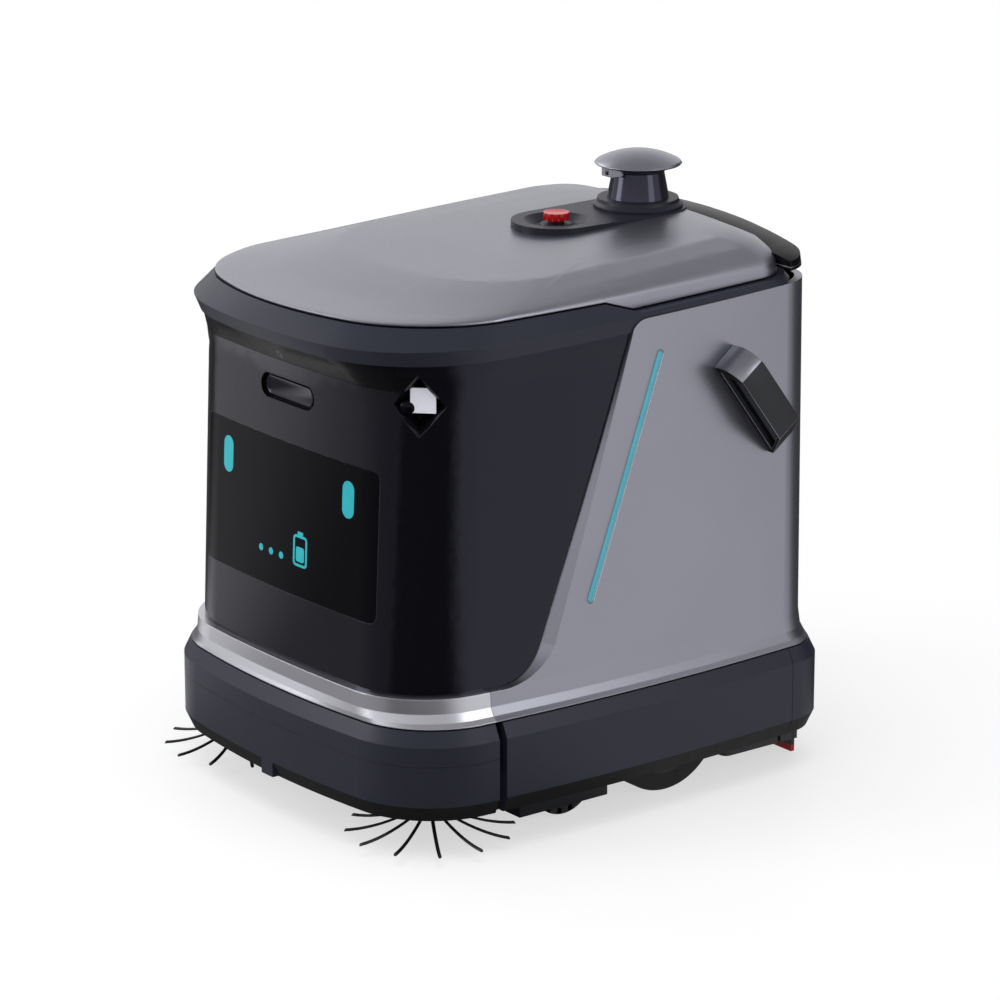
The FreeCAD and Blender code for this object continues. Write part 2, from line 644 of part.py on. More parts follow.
left_panel = cut("left_side_panel",
                 common("left_panel_sheet", body_ring, panel_sheet, box("left_half", LEFT, WIDE, TALL)),
                 rear_field, bevel_tool, light_strip)
piece("left_side_panel", left_panel)
piece("right_side_panel", mirrored("right_side_panel", left_panel))
piece("light_strips", pair("light_strips", light_strip))
cover_zone = box("cover_zone", ("-150", "150"), ("100", "far_end"), ("band_low", "hinge_z - 6.5"))
piece("rear_cover", common("rear_cover", body_ring, cover_zone))
band_zone = box("band_zone", WIDE, ("-2 * skirt_front", "-band_seam"), ("band_low", "band_high"))
piece("front_trim_band", common("front_trim_band", body_ring, band_zone))


# Fascia and what is set in it

FASCIA_TOP = dict(BODY, front="body_front - fascia_lean")
FASCIA_INSET = "fascia_step + 0.3"


def fascia_solid(name, deeper):
    """The black body of the front, scooped out to the collar's sloping foot."""
    inset = "%s + %s" % (FASCIA_INSET, deeper)
    return loft(name, [
        outline(name + "_foot", BODY, "band_high", inset),
        outline(name + "_waist", FASCIA_TOP, "scoop_start", inset),
        outline(name + "_low", mix(FASCIA_TOP, COLLAR_FOOT, 0.2), "scoop_start + 24", inset + " - 1", "0",
                "collar_lean * 0.4"),
        outline(name + "_mid", mix(FASCIA_TOP, COLLAR_FOOT, 0.5), "scoop_start + 42", inset + " - 3", "0",
                "collar_lean * 0.75"),
        outline(name + "_high", COLLAR_FOOT, "collar_low", deeper + " + 2", "0", "collar_lean"),
    ])


fascia_outside = fascia_solid("fascia_outside", "0")
fascia_inside = fascia_solid("fascia_inside", "fascia_wall")
fascia_wall = cut("fascia_wall_full", fascia_outside, fascia_inside, panel_sheet)

glass_back = loft("glass_back", [
    outline("glass_back_foot", BODY, "band_high", FASCIA_INSET + " + screen_depth"),
    outline("glass_back_top", FASCIA_TOP, "scoop_start", FASCIA_INSET + " + screen_depth"),
])
screen_edges = rectangle(("-screen_half_width", "screen_half_width"), ("screen_low", "screen_high"))
screen_front = rounded_body("screen_window", screen_edges, "0", "skirt_front", "screen_round")
screen_front.Placement = FreeCAD.Placement(V(), FRONT_VIEW)
display = cut("display_screen", common("display_field", screen_front, fascia_outside), glass_back)
piece("display_screen", display)


def slot_prism(name, half_width, height, depth):
    """An upright oval bar through the front, at the depth camera's place."""
    round_end = "(%s) / 2" % height
    reach = "(%s - %s)" % (half_width, round_end)
    middle = box(name + "_middle", ("-" + reach, reach), ("-skirt_front", depth),
                 ("slot_middle - " + round_end, "slot_middle + " + round_end))
    ends = [cylinder(name + "_end_" + side, round_end, "y", ("-skirt_front", depth),
                     sign + reach, "slot_middle")
            for side, sign in (("left", ""), ("right", "-"))]
    return fuse(name, middle, *ends)


slot_cut = slot_prism("slot_cut", "slot_half_width", "slot_height", "-body_front + 26")
slot_block = slot_prism("slot_block", "slot_half_width + 4", "slot_height + 8", "-body_front + 40")
slot_housing = cut("slot_housing", common("slot_back", slot_block, fascia_inside), slot_cut)
dot_bar = cylinder("dot_bar", "dot_radius", "y", ("-skirt_front", "-body_front + 40"), "0", "dot_height")
dot_lens = common("dot_lens", dot_bar, fascia_outside)
piece("front_cameras", together("front_cameras", slot_housing, dot_lens))

EYE_TURN = FreeCAD.Rotation(V(1, 1, 0), V(0, 0, 1), V(1, -1, 0), "XYZ")


def diamond(name, half, out):
    """A square on its corner, facing out of the fascia's corner."""
    sketch = doc.addObject("Sketcher::SketchObject", name)
    sketch.Placement = FreeCAD.Placement(V(), EYE_TURN)
    place(sketch, "corner_eye_x + (%s) * sqrt(0.5)" % out, "-corner_eye_y - (%s) * sqrt(0.5)" % out,
          "corner_eye_z")
    return draw(sketch, [("-(%s)" % half, "0"), ("0", "-(%s)" % half), (half, "0"), ("0", half)])


eye_hollow = loft("eye_hollow", [diamond("eye_floor", "corner_eye_side * 0.3", "-18"),
                                 diamond("eye_mouth", "corner_eye_side * 0.95", "20")])
eye_cup = loft("eye_cup", [diamond("cup_floor", "corner_eye_side * 0.3 + 3", "-21"),
                           diamond("cup_mouth", "corner_eye_side * 0.95 + 4", "20")])
eye_lens = doc.addObject("Part::Cylinder", "eye_lens")
eye_lens.Placement = FreeCAD.Placement(V(), EYE_TURN)
bind(eye_lens, {"Radius": "corner_eye_lens * 0.6", "Height": "9"})
place(eye_lens, "corner_eye_x - 19 * sqrt(0.5)", "-corner_eye_y + 19 * sqrt(0.5)", "corner_eye_z")
eye_twin = mirrored("eye_hollow_right", eye_hollow)
piece("front_fascia", cut("front_fascia", fascia_wall, display, slot_cut, dot_bar, eye_hollow, eye_twin))
corner_eye = fuse("corner_eye", cut("eye_housing", common("eye_block", eye_cup, fascia_inside), eye_hollow),
                  eye_lens)
piece("corner_cameras", pair("corner_cameras", corner_eye))


# Collar and lid

collar_outside = loft("collar_outside", [
    outline("collar_foot", COLLAR_FOOT, "collar_low", "0", "0", "collar_lean"),
    outline("collar_edge", COLLAR, "collar_crease", "0", "0", "collar_lean * 0.75"),
    outline("collar_rim", LID, "seam_front - seam_gap", "-seam_gap"),
])
collar_inside = extrude("collar_inside", outline("collar_hollow", LID, "scoop_start", "collar_inside"),
                        "seam_front - scoop_start")
above_step = "1.5 * seam_front - 0.5 * seam_drop - seam_gap"
collar_sheet = extrude("collar_sheet", profile("collar_edges", SIDE_VIEW, [
    ("-2 * skirt_front", "scoop_start"),
    ("-2 * skirt_front", above_step),
    ("-1.5 * step_front + 0.5 * step_rear", above_step),
    ("-step_rear", "seam_drop - seam_gap"),
    ("far_end", "seam_rear - seam_gap"),
    ("far_end", "scoop_start"),
]), "2 * skirt_half_width", "2 * skirt_half_width")
collar_ring = common("collar_ring", cut("collar_wall", collar_outside, collar_inside), collar_sheet)
piece("top_collar", cut("top_collar", collar_ring, panel_sheet))


def lid_solid(name, thinner):
    """The pillow of the lid, from its lower edge to its crown, sloping down to the front."""
    rises = ((0, "seam_drop", 0), (0, "seam_front + 2", 0), (0.012, "seam_front + 7.5", 0.25),
             (0.06, "seam_front + 13.5", 0.55), (0.18, "seam_front + 23", 1), (0.42, "crown_top - 2.5", 1),
             (0.7, "crown_top - 0.8", 1), (1, "crown_top", 1))
    sections = []
    for index, (share, height, slope) in enumerate(rises):
        level = "%s - (%s)" % (height, thinner) if index else height
        degrees = "lid_lean * %g" % slope if slope else "0"
        sections.append(outline("%s_%d" % (name, index), mix(LID, CROWN, share), level, thinner,
                                "lid_pivot", degrees))
    return loft(name, sections)


def teardrop(name, height):
    """Plan of the oval plate: a small round end for the stop and a large one for the tower."""
    sketch = doc.addObject("Sketcher::SketchObject", name)
    place(sketch, z=height)
    near = V(0, measure("estop_y"))
    far = V(0, measure("tower_y"))
    small = measure("dish_radius")
    large = measure("tower_plate_radius")
    lean = math.asin((large - small) / (far - near).Length)
    for centre, radius, start in ((near, small, math.pi + lean), (far, large, -lean)):
        turn = math.pi - 2 * lean if centre == near else math.pi + 2 * lean
        sketch.addGeometry(Part.ArcOfCircle(Part.Circle(centre, UP, radius), start, start + turn), False)
    for first, second in ((0, 1), (1, 0)):
        line = Part.LineSegment(sketch.getPoint(first, 2), sketch.getPoint(second, 1))
        sketch.addGeometry(line, False)
    for line, first, second in ((2, 0, 1), (3, 1, 0)):
        sketch.addConstraint(Sketcher.Constraint("Tangent", first, 2, line, 1))
        sketch.addConstraint(Sketcher.Constraint("Tangent", line, 2, second, 1))
    for arc, size, y in ((0, "dish_radius", "estop_y"), (1, "tower_plate_radius", "tower_y")):
        held = sketch.addConstraint(Sketcher.Constraint("Radius", arc, measure(size)))
        sketch.setExpression("Constraints[%d]" % held, expression(size))
        pin(sketch, arc, 3, "0", y)
    return sketch


lid_outside = lid_solid("lid_outside", "0")
lid_shell = cut("lid_shell", lid_outside, lid_solid("lid_inside", "lid_wall"))
lid_foot = extrude("lid_foot", profile("lid_foot_edges", SIDE_VIEW, [
    ("-2 * skirt_front", "scoop_start"),
    ("-2 * skirt_front", "seam_front"),
    ("-step_front", "seam_front"),
    ("-step_rear", "seam_drop"),
    ("far_end", "seam_rear"),
    ("far_end", "scoop_start"),
]), "2 * skirt_half_width", "2 * skirt_half_width")
plate_blank = extrude("plate_blank", teardrop("plate_plan", "deck_plate_low"),
                      "deck_plate_top - deck_plate_low")
piece("lid_panel", cut("lid_panel", lid_shell, lid_foot, plate_blank))

dish = revolve("dish", profile("dish_cut", FRONT_VIEW, [
    ("0", "deck_plate_top - 8"), ("26", "deck_plate_top - 8"), ("dish_radius - 14", "deck_plate_top"),
    ("0", "deck_plate_top")], y="estop_y"), UP, y="estop_y")
plunger_hole = cylinder("plunger_hole", "9 + running_gap", "z", ("deck_plate_low", "deck_plate_top"),
                        "0", "estop_y")
stop_socket = revolve("stop_socket", profile("socket_cut", FRONT_VIEW, [
    ("9 + running_gap", "deck_plate_top - 8"), ("19", "deck_plate_top - 8"), ("19", "deck_plate_top - 5.5"),
    ("17", "deck_plate_top - 4"), ("9 + running_gap", "deck_plate_top - 4")], y="estop_y"), UP, y="estop_y")
piece("deck_plate", fuse("deck_plate", cut("plate_dished", plate_blank, dish, plunger_hole), stop_socket))

plunger = cylinder("plunger_stem", "9", "z", ("deck_plate_low - 10", "deck_plate_top"), "0", "estop_y")
spigot = cylinder("plunger_spigot", "5", "z", ("deck_plate_top", "deck_plate_top + 4"), "0", "estop_y")
piece("stop_plunger", fuse("stop_plunger", plunger, spigot))
piece("stop_head", revolve("stop_head", profile("head_cut", FRONT_VIEW, [
    ("0", "deck_plate_top + 4.2"), ("5 + running_gap", "deck_plate_top + 4.2"),
    ("5 + running_gap", "deck_plate_top"),
    ("estop_radius - 2", "deck_plate_top"), ("estop_radius", "deck_plate_top + 2"),
    ("estop_radius", "deck_plate_top + 6", "estop_radius - 1", "deck_plate_top + 7.3"),
    ("estop_radius - 3", "deck_plate_top + 8"), ("0", "deck_plate_top + 8.6")], y="estop_y"),
    UP, y="estop_y"))


# Scanner tower

def turned(name, corners):
    """A piece turned about the tower's axis."""
    return revolve(name, profile(name + "_cut", FRONT_VIEW, corners, y="tower_y"), UP, y="tower_y")


piece("tower_ring", turned("tower_ring", [
    ("0", "deck_plate_top"), ("52", "deck_plate_top"), ("52", "deck_plate_top + 3"),
    ("48", "tower_ring_top - 4"), ("47", "tower_ring_top"), ("6", "tower_ring_top"),
    ("6", "tower_ring_top + 3"), ("0", "tower_ring_top + 3")]))
piece("tower_window", turned("tower_window", [
    ("32", "tower_ring_top"), ("36", "tower_ring_top"), ("30", "tower_neck"), ("26", "tower_neck")]))
DOME_EDGE = "(tower_cap_radius - 2)"
DOME_RISE = "(tower_top - tower_rim - 3)"
DOME_ROUND = "((%s * %s + %s * %s) / 2 / %s)" % (DOME_EDGE, DOME_EDGE, DOME_RISE, DOME_RISE, DOME_RISE)
piece("tower_cap", turned("tower_cap", [
    ("0", "tower_neck"), ("31", "tower_neck", "36", "tower_neck + 5"),
    ("tower_cap_radius - 1.5", "tower_rim - 1"),
    ("tower_cap_radius", "tower_rim + 0.5"),
    (DOME_EDGE, "tower_rim + 3", DOME_EDGE + " / 2", "tower_top - %s + sqrt(%s * %s - %s * %s / 4)"
     % (DOME_ROUND, DOME_ROUND, DOME_ROUND, DOME_EDGE, DOME_EDGE)),
    ("0", "tower_top")]))
piece("scan_rotor", turned("scan_rotor", [
    ("0", "tower_ring_top + 3.4"), ("22", "tower_ring_top + 3.4"), ("22", "tower_neck - 4"),
    ("0", "tower_neck - 4")]))
camera_block = box("camera_block", ("-10", "10"), ("tower_y - 46", "tower_y - 30"),
                   ("tower_neck - 2", "tower_rim"))
camera_hole = cylinder("camera_hole", "2", "y", ("tower_y - 46", "tower_y - 43"), "0", "tower_neck + 2")
cap_under = turned("cap_under", [
    ("0", "tower_neck"), ("31", "tower_neck", "36", "tower_neck + 5"),
    ("tower_cap_radius - 1.5", "tower_rim - 1"),
    ("tower_cap_radius", "tower_top"), ("0", "tower_top")])
neck_core = turned("neck_core", [("0", "tower_ring_top"), ("36", "tower_ring_top"), ("30", "tower_neck"),
                                 ("0", "tower_neck")])
piece("tower_camera", cut("tower_camera", camera_block, cap_under, neck_core, camera_hole))


# Rear bar and lid hinges

bar_outside = loft("bar_outside", [
    outline("bar_foot", BODY, "bar_low", "body_draft + 1"),
    outline("bar_rim", BODY, "bar_top + 2", "body_draft + 5"),
])
bar_core = extrude("bar_core", outline("bar_hollow", LID, "bar_low", "8"), "40")
bar_zone = box("bar_zone", WIDE, ("bar_front", "far_end"), TALL)
bar_crown = extrude("bar_crown", profile("bar_bow", FRONT_VIEW, [
    ("-body_half_width", "bar_low - 2"),
    ("body_half_width", "bar_low - 2"),
    ("body_half_width", "bar_top - bar_fall", "0", "bar_top"),
    ("-body_half_width", "bar_top - bar_fall"),
], y="far_end"), "far_end - bar_front")
notch_left = box("hinge_notch", ("hinge_x - 16", "hinge_x + 16"), ("lid_rear - 12", "far_end"),
                 ("bar_low", "hinge_z + 6"))
hinge_notches = [notch_left, mirrored("hinge_notch_right", notch_left)]
bar_strip = common("bar_strip", cut("bar_ring", bar_outside, bar_core, lid_outside), bar_zone, bar_crown)
piece("rear_bar", cut("rear_bar", bar_strip, *hinge_notches))

ears = []
for index, (low, high) in enumerate((("-14", "-6"), ("6", "14"))):
    span = ("hinge_x + " + low, "hinge_x + " + high)
    ears.append(box("ear_%d" % index, span, ("hinge_y - hinge_knuckle", "body_rear - 0.5"),
                    ("hinge_z - 6.5", "hinge_z")))
    ears.append(cylinder("ear_top_%d" % index, "hinge_knuckle", "x", span, "hinge_y", "hinge_z"))
ears.append(cylinder("hinge_pin_rod", "hinge_pin", "x", ("hinge_x - 14", "hinge_x + 14"),
                     "hinge_y", "hinge_z"))
piece("hinge_ears", pair("hinge_ears", fuse("hinge_ear", *ears)))
arm_span = ("hinge_x - 5.6", "hinge_x + 5.6")
arm_leaf = box("arm_leaf", arm_span, ("lid_rear - 12", "hinge_y"),
               ("hinge_z + 1.5", "hinge_z + hinge_knuckle"))
arm_barrel = cylinder("arm_barrel", "hinge_knuckle", "x", arm_span, "hinge_y", "hinge_z")
arm_bore = cylinder("arm_bore", "hinge_pin + running_gap", "x", arm_span, "hinge_y", "hinge_z")
hinge_arm = cut("hinge_arm", fuse("arm_blank", arm_leaf, arm_barrel), arm_bore, lid_outside)
piece("hinge_arms", pair("hinge_arms", hinge_arm))


# Sensor pods on the side panels

POD_MOUTH = [
    ("pod_wall + 5", "2"),
    ("pod_head + pod_wall - 3", "pod_reach - pod_wall"),
    ("pod_length - pod_tail - pod_wall + 1", "pod_reach - pod_wall"),
    ("pod_length - pod_wall - 5", "2"),
]
pod_body = doc.addObject("PartDesign::Body", "pod_body")
pod_sketch = draw(body_sketch(pod_body, "pod_plan", "XY_Plane"), [
    ("0", "-14"),
    ("0", "0", "pod_head * 0.3", "pod_reach * 0.72"),
    ("pod_head", "pod_reach"),
    ("pod_length - pod_tail", "pod_reach"),
    ("pod_length", "0"),
    ("pod_length", "-14"),
])
pod_pad = pod_body.newObject("PartDesign::Pad", "pod_pad")
pod_pad.Profile = pod_sketch
bind(pod_pad, {"Length": "pod_width"})
pod_mouth = body_sketch(pod_body, "pod_mouth", "XY_Plane")
bind(pod_mouth, {"AttachmentOffset.Base.z": "pod_width"})
draw(pod_mouth, POD_MOUTH)
pod_scoop = pod_body.newObject("PartDesign::Pocket", "pod_scoop")
pod_scoop.Profile = pod_mouth
bind(pod_scoop, {"Length": "pod_width - 8"})
tilt = math.radians(measure("pod_tilt"))
POD_TURN = FreeCAD.Rotation(V(0, math.cos(tilt), -math.sin(tilt)), V(1, 0, 0),
                            V(0, -math.sin(tilt), -math.cos(tilt)), "XYZ")


def on_pod(item, across):
    """Place a piece drawn along the pod, at a distance across it."""
    item.Placement = FreeCAD.Placement(V(), POD_TURN)
    return place(item, "body_half_width", "pod_y + (%s) * sin(pod_tilt)" % across,
                 "pod_z + (%s) * cos(pod_tilt)" % across)


on_pod(pod_body, "pod_width")
piece("sensor_pods", pair("sensor_pods", cut("sensor_pod", pod_body, body_outside)))
pod_glass = doc.addObject("Sketcher::SketchObject", "pod_glass")
on_pod(draw(pod_glass, POD_MOUTH), "8")
piece("pod_windows", pair("pod_windows", extrude("pod_window", pod_glass, "3")))


# Chassis plate, frame posts and tank shelf

def at_both(name, make):
    """Left and right copies of a tool, made by a function of a side's sign."""
    return [make(name + "_" + side, sign) for side, sign in (("left", ""), ("right", "-"))]


def side_box(name, sign, x, y, z):
    """A box on the left, or on the right where the sign is a minus."""
    ends = x if sign == "" else ("-(%s)" % x[1], "-(%s)" % x[0])
    return box(name, ends, y, z)


PLATE = ("plate_low", "plate_high")
SCREW_SPOTS = [("215", "-235"), ("215", "120"), ("112", "49"), ("160", "49"), ("112", "-49"), ("160", "-49")]
plate_core = extrude("plate_core", outline("plate_core_plan", BODY, "plate_low", "panel_wall + 2"),
                     "plate_high - plate_low")
plate_wings = common("plate_wings",
                     extrude("wing_block", outline("wing_plan", SKIRT, "plate_low", "skirt_wall"),
                             "plate_high - plate_low"),
                     box("wing_zone", WIDE, ("-bumper_seam + bumper_gap", "far_end"), TALL))
plate_tools = [box("deck_opening", ("-deck_half_width - 6", "deck_half_width + 6"),
                   ("-deck_front - 6", "-deck_rear + 6"), PLATE)]
plate_tools += at_both("wheel_opening", lambda name, sign: side_box(
    name, sign, ("wheel_inside - 8", "wheel_outside + 8"), ("-wheel_radius - 8", "wheel_radius + 8"), PLATE))
plate_tools += at_both("motor_opening", lambda name, sign: side_box(
    name, sign, ("motor_inside - 4", "wheel_inside"), ("-motor_radius - 4", "motor_radius + 4"), PLATE))
plate_tools += at_both("stem_hole", lambda name, sign: cylinder(
    name, "caster_stem + running_gap", "z", PLATE, sign + "caster_x", "-caster_y"))
plate_tools += at_both("post_hole", lambda name, sign: cylinder(
    name, "guide_radius + running_gap", "z", PLATE, sign + "post_x", "post_y"))
plate_tools += at_both("brush_hole", lambda name, sign: cylinder(
    name, "7", "z", PLATE, sign + "brush_x", "-brush_y"))
piece("chassis_plate", cut("chassis_plate", fuse("plate_blank_all", plate_core, plate_wings), *plate_tools))

posts = []
for index, (x, y) in enumerate(SCREW_SPOTS[:2]):
    posts.append(box("post_%d" % index, (x + " - 10", x + " + 10"), (y + " - 10", y + " + 10"),
                     ("plate_high", "shelf_low")))
posts.append(cylinder("guide_rod", "guide_radius", "z", ("deck_high + 28", "shelf_low"),
                      "guide_x", "-roller_y"))
piece("frame_posts", pair("frame_posts", together("frame_post", *posts)))
SHELF = dict(BODY, front="body_front - fascia_lean * (shelf_high - band_high) / (scoop_start - band_high)"
                         " + panel_wall - fascia_step - fascia_wall - 0.4")
piece("tank_shelf", extrude("tank_shelf", outline("shelf_plan", SHELF, "shelf_low", "panel_wall"),
                            "shelf_high - shelf_low"))
screws = []
for index, (x, y) in enumerate(SCREW_SPOTS):
    screw = doc.addObject("Part::Prism", "screw_%d" % index)
    screw.Polygon = 6
    bind(screw, {"Circumradius": "screw_radius", "Height": "screw_height"})
    screws.append(place(screw, x, y, "plate_low - screw_height"))
piece("base_screws", pair("base_screws", together("base_screw", *screws)))


# Tanks and the electrical units

CLEAN = ("-290", "-110")
WASTE = ("-60", "130")
for label, (front, rear) in (("clean_water_tank", CLEAN), ("waste_water_tank", WASTE)):
    piece(label, rounded_body(label, rectangle(("-tank_half_width", "tank_half_width"), (front, rear)),
                              "shelf_high", "tank_top", "tank_round"))
piece("tank_caps", together("tank_caps", *[
    cylinder("tank_cap_%d" % index, "cap_radius", "z", ("tank_top", "tank_top + cap_height"), "0",
             "(%s + %s) / 2" % ends)
    for index, ends in enumerate((CLEAN, WASTE))]))
piece("battery_pack", rounded_body("battery_pack", rectangle(("-86", "86"), ("-64", "64")),
                                   "plate_high", "190", "8"))
control_case = rounded_body("control_case", rectangle(("-100", "100"), ("-312", "-240")),
                            "plate_high + 10", "160", "8")
control_feet = [cylinder("control_foot_%d" % index, "5", "z", ("plate_high", "plate_high + 10"), x, y)
                for index, (x, y) in enumerate((x, y) for x in ("-86", "86") for y in ("-300", "-252"))]
piece("control_box", fuse("control_box", control_case, *control_feet))
piece("suction_fan", revolve("suction_fan", profile("fan_cut", FRONT_VIEW, [
    ("0", "plate_high"), ("56", "plate_high"), ("56", "plate_high + 50", "52", "plate_high + 64"),
    ("38", "plate_high + 70"), ("38", "plate_high + 92"), ("0", "plate_high + 92")], y="post_y"),
    UP, y="post_y"))

motor_can = cylinder("motor_can", "motor_radius", "x", ("motor_inside", "motor_outside"), "0", "wheel_radius")
motor_flange = box("motor_flange", ("motor_inside + 6", "motor_outside - 6"),
                   ("-motor_radius - 18", "motor_radius + 18"), ("plate_high", "plate_high + 8"))
drive_shaft = cylinder("drive_shaft", "shaft_radius", "x", ("motor_outside", "wheel_outside - 6"),
                       "0", "wheel_radius")
piece("drive_motors", pair("drive_motors", fuse("drive_motor", motor_can, motor_flange, drive_shaft)))


# Drive wheels

rim = doc.addObject("PartDesign::Body", "left_wheel_rim")
rim_sketch = draw(body_sketch(rim, "rim_profile", "XZ_Plane"), [
    ("wheel_outside - 5", "0"), ("wheel_outside", "0"), ("wheel_outside", "15"), ("wheel_outside - 6", "20"),
    ("wheel_outside - 10", "50"), ("wheel_outside", "54"), ("wheel_outside", "rim_radius"),
    ("wheel_inside", "rim_radius"), ("wheel_inside", "54"), ("wheel_inside + 12", "50"),
    ("wheel_inside + 12", "16"), ("wheel_inside", "16"), ("wheel_inside", "shaft_radius + running_gap"),
    ("wheel_outside - 5", "shaft_radius + running_gap")])
rim_turn = rim.newObject("PartDesign::Revolution", "rim_turn")
rim_turn.Profile = rim_sketch
rim_turn.ReferenceAxis = (rim_sketch, ["H_Axis"])
rim_turn.Angle = 360
rim_hole = body_sketch(rim, "rim_hole", "YZ_Plane")
rim_hole.addGeometry(Part.Circle(V(0, measure("rim_radius * 0.58")), UP, 8), False)
rim_hole.addConstraint(Sketcher.Constraint("Radius", 0, 8))
pin(rim_hole, 0, 3, "0", "rim_radius * 0.58")
rim_pocket = rim.newObject("PartDesign::Pocket", "rim_pocket")
rim_pocket.Profile = rim_hole
rim_pocket.Type = "ThroughAll"
rim_pocket.Midplane = True
rim_holes = rim.newObject("PartDesign::PolarPattern", "rim_holes")
rim_holes.Originals = [rim_pocket]
rim_holes.Axis = (rim_sketch, ["H_Axis"])
rim_holes.Angle = 360
rim_holes.Occurrences = 6
rim.Tip = rim_holes
place(rim, z="wheel_radius")
piece("left_wheel_rim", rim)
piece("right_wheel_rim", mirrored("right_wheel_rim", rim))
tyre = revolve("left_wheel_tyre", profile("tyre_cut", FRONT_VIEW, [
    ("wheel_inside", "rim_radius"), ("wheel_outside", "rim_radius"),
    ("wheel_outside", "wheel_radius - 7"), ("wheel_outside - 2", "wheel_radius - 2"),
    ("wheel_outside - 7", "wheel_radius"), ("wheel_inside + 7", "wheel_radius"),
    ("wheel_inside + 2", "wheel_radius - 2"), ("wheel_inside", "wheel_radius - 7")],
    z="wheel_radius"), V(1, 0, 0), z="wheel_radius")
piece("left_wheel_tyre", tyre)
piece("right_wheel_tyre", mirrored("right_wheel_tyre", tyre))


# Side brushes

brush_motor = cylinder("brush_motor_can", "brush_motor_radius", "z", ("plate_high", "plate_high + 46"),
                       "brush_x", "-brush_y")
brush_socket = cylinder("brush_socket", "6 + running_gap", "z", ("plate_high", "plate_high + 14"),
                        "brush_x", "-brush_y")
piece("side_brush_motors", pair("side_brush_motors", cut("side_brush_motor", brush_motor, brush_socket)))
hub = revolve("left_brush_hub", profile("hub_cut", FRONT_VIEW, [
    ("0", "brush_hub_low"), ("brush_hub_radius", "brush_hub_low"),
    ("brush_hub_radius", "brush_hub_low + 4", "brush_hub_radius * 0.8", "brush_hub_high - 4"),
    ("brush_hub_radius * 0.4", "brush_hub_high"), ("6", "brush_hub_high + 2"), ("6", "plate_high + 13.5"),
    ("0", "plate_high + 13.5")], x="brush_x", y="-brush_y"), UP, x="brush_x", y="-brush_y")
piece("left_brush_hub", hub)
piece("right_brush_hub", mirrored("right_brush_hub", hub))

bristles = doc.addObject("PartDesign::Body", "left_brush_bristles")
ring_sketch = draw(body_sketch(bristles, "bristle_ring_profile", "XZ_Plane"), [
    ("16", "brush_hub_low - 4"), ("brush_hub_radius - 2", "brush_hub_low - 4"),
    ("brush_hub_radius - 2", "brush_hub_low"), ("16", "brush_hub_low")])
bristle_ring = bristles.newObject("PartDesign::Revolution", "bristle_ring")
bristle_ring.Profile = ring_sketch
bristle_ring.ReferenceAxis = (ring_sketch, ["V_Axis"])
bristle_ring.Angle = 360
TUFT_BEND = [("brush_hub_radius - 8", "brush_hub_low - 2"),
             ("(brush_hub_radius + brush_reach) / 2", "brush_tip_z + 7"),
             ("brush_reach - 0.3", "brush_tip_z + tuft_radius")]
tuft_faces = []
for index, (out, height) in enumerate(TUFT_BEND):
    tuft_face = body_sketch(bristles, "tuft_face_%d" % index, "YZ_Plane")
    bind(tuft_face, {"AttachmentOffset.Base.z": out})
    turns = [math.radians(60 * step) for step in range(6)]
    tuft_faces.append(draw(tuft_face, [
        ("%g * tuft_radius" % math.cos(turn), "%s + %g * tuft_radius" % (height, math.sin(turn)))
        for turn in turns]))
tuft = bristles.newObject("PartDesign::AdditiveLoft", "tuft")
tuft.Profile = tuft_faces[0]
tuft.Sections = tuft_faces[1:]
tuft.Ruled = True
tufts = bristles.newObject("PartDesign::PolarPattern", "tufts")
tufts.Originals = [tuft]
tufts.Axis = (ring_sketch, ["V_Axis"])
tufts.Angle = 360
bind(tufts, {"Occurrences": "tuft_count"})
bristles.Tip = tufts
place(bristles, "brush_x", "-brush_y")
piece("left_brush_bristles", bristles)
piece("right_brush_bristles", mirrored("right_brush_bristles", bristles))


# Scrub deck and roller

deck_shell = box("deck_shell", ("-deck_half_width", "deck_half_width"), ("-deck_front", "-deck_rear"),
                 ("deck_low", "deck_high"))
deck_hollow = box("deck_hollow", ("-deck_half_width + 9", "deck_half_width - 9"),
                  ("-deck_front + 9", "-deck_rear - 9"), ("0", "deck_high - 4.5"))
deck_bore = cylinder("deck_bore", "6 + running_gap", "x", ("-deck_half_width", "deck_half_width"),
                     "-roller_y", "roller_z")
sleeves = at_both("deck_sleeve", lambda name, sign: cylinder(
    name, "guide_radius + 6", "z", ("deck_high - 2", "deck_high + 52"), sign + "guide_x", "-roller_y"))
sleeve_bores = at_both("sleeve_bore", lambda name, sign: cylinder(
    name, "guide_radius + running_gap", "z", ("deck_high", "deck_high + 52"), sign + "guide_x", "-roller_y"))
piece("deck_housing", cut("deck_housing", fuse("deck_blank", deck_shell, *sleeves), deck_hollow, deck_bore,
                          *sleeve_bores))
roller_can = cylinder("roller_can", "22", "x", ("-70", "70"), "-roller_y", "deck_high + 26")
roller_saddle = box("roller_saddle", ("-50", "50"), ("-roller_y - 14", "-roller_y + 14"),
                    ("deck_high", "deck_high + 12"))
piece("roller_motor", fuse("roller_motor", roller_can, roller_saddle))
piece("main_roller", revolve("main_roller", profile("roller_cut", FRONT_VIEW, [
    ("-deck_half_width + 0.5", "0"), ("-deck_half_width + 0.5", "6"), ("-deck_half_width + 12", "6"),
    ("-deck_half_width + 12", "roller_radius"), ("deck_half_width - 12", "roller_radius"),
    ("deck_half_width - 12", "6"), ("deck_half_width - 0.5", "6"), ("deck_half_width - 0.5", "0")],
    y="-roller_y", z="roller_z"), V(1, 0, 0), y="-roller_y", z="roller_z"))


# Squeegee

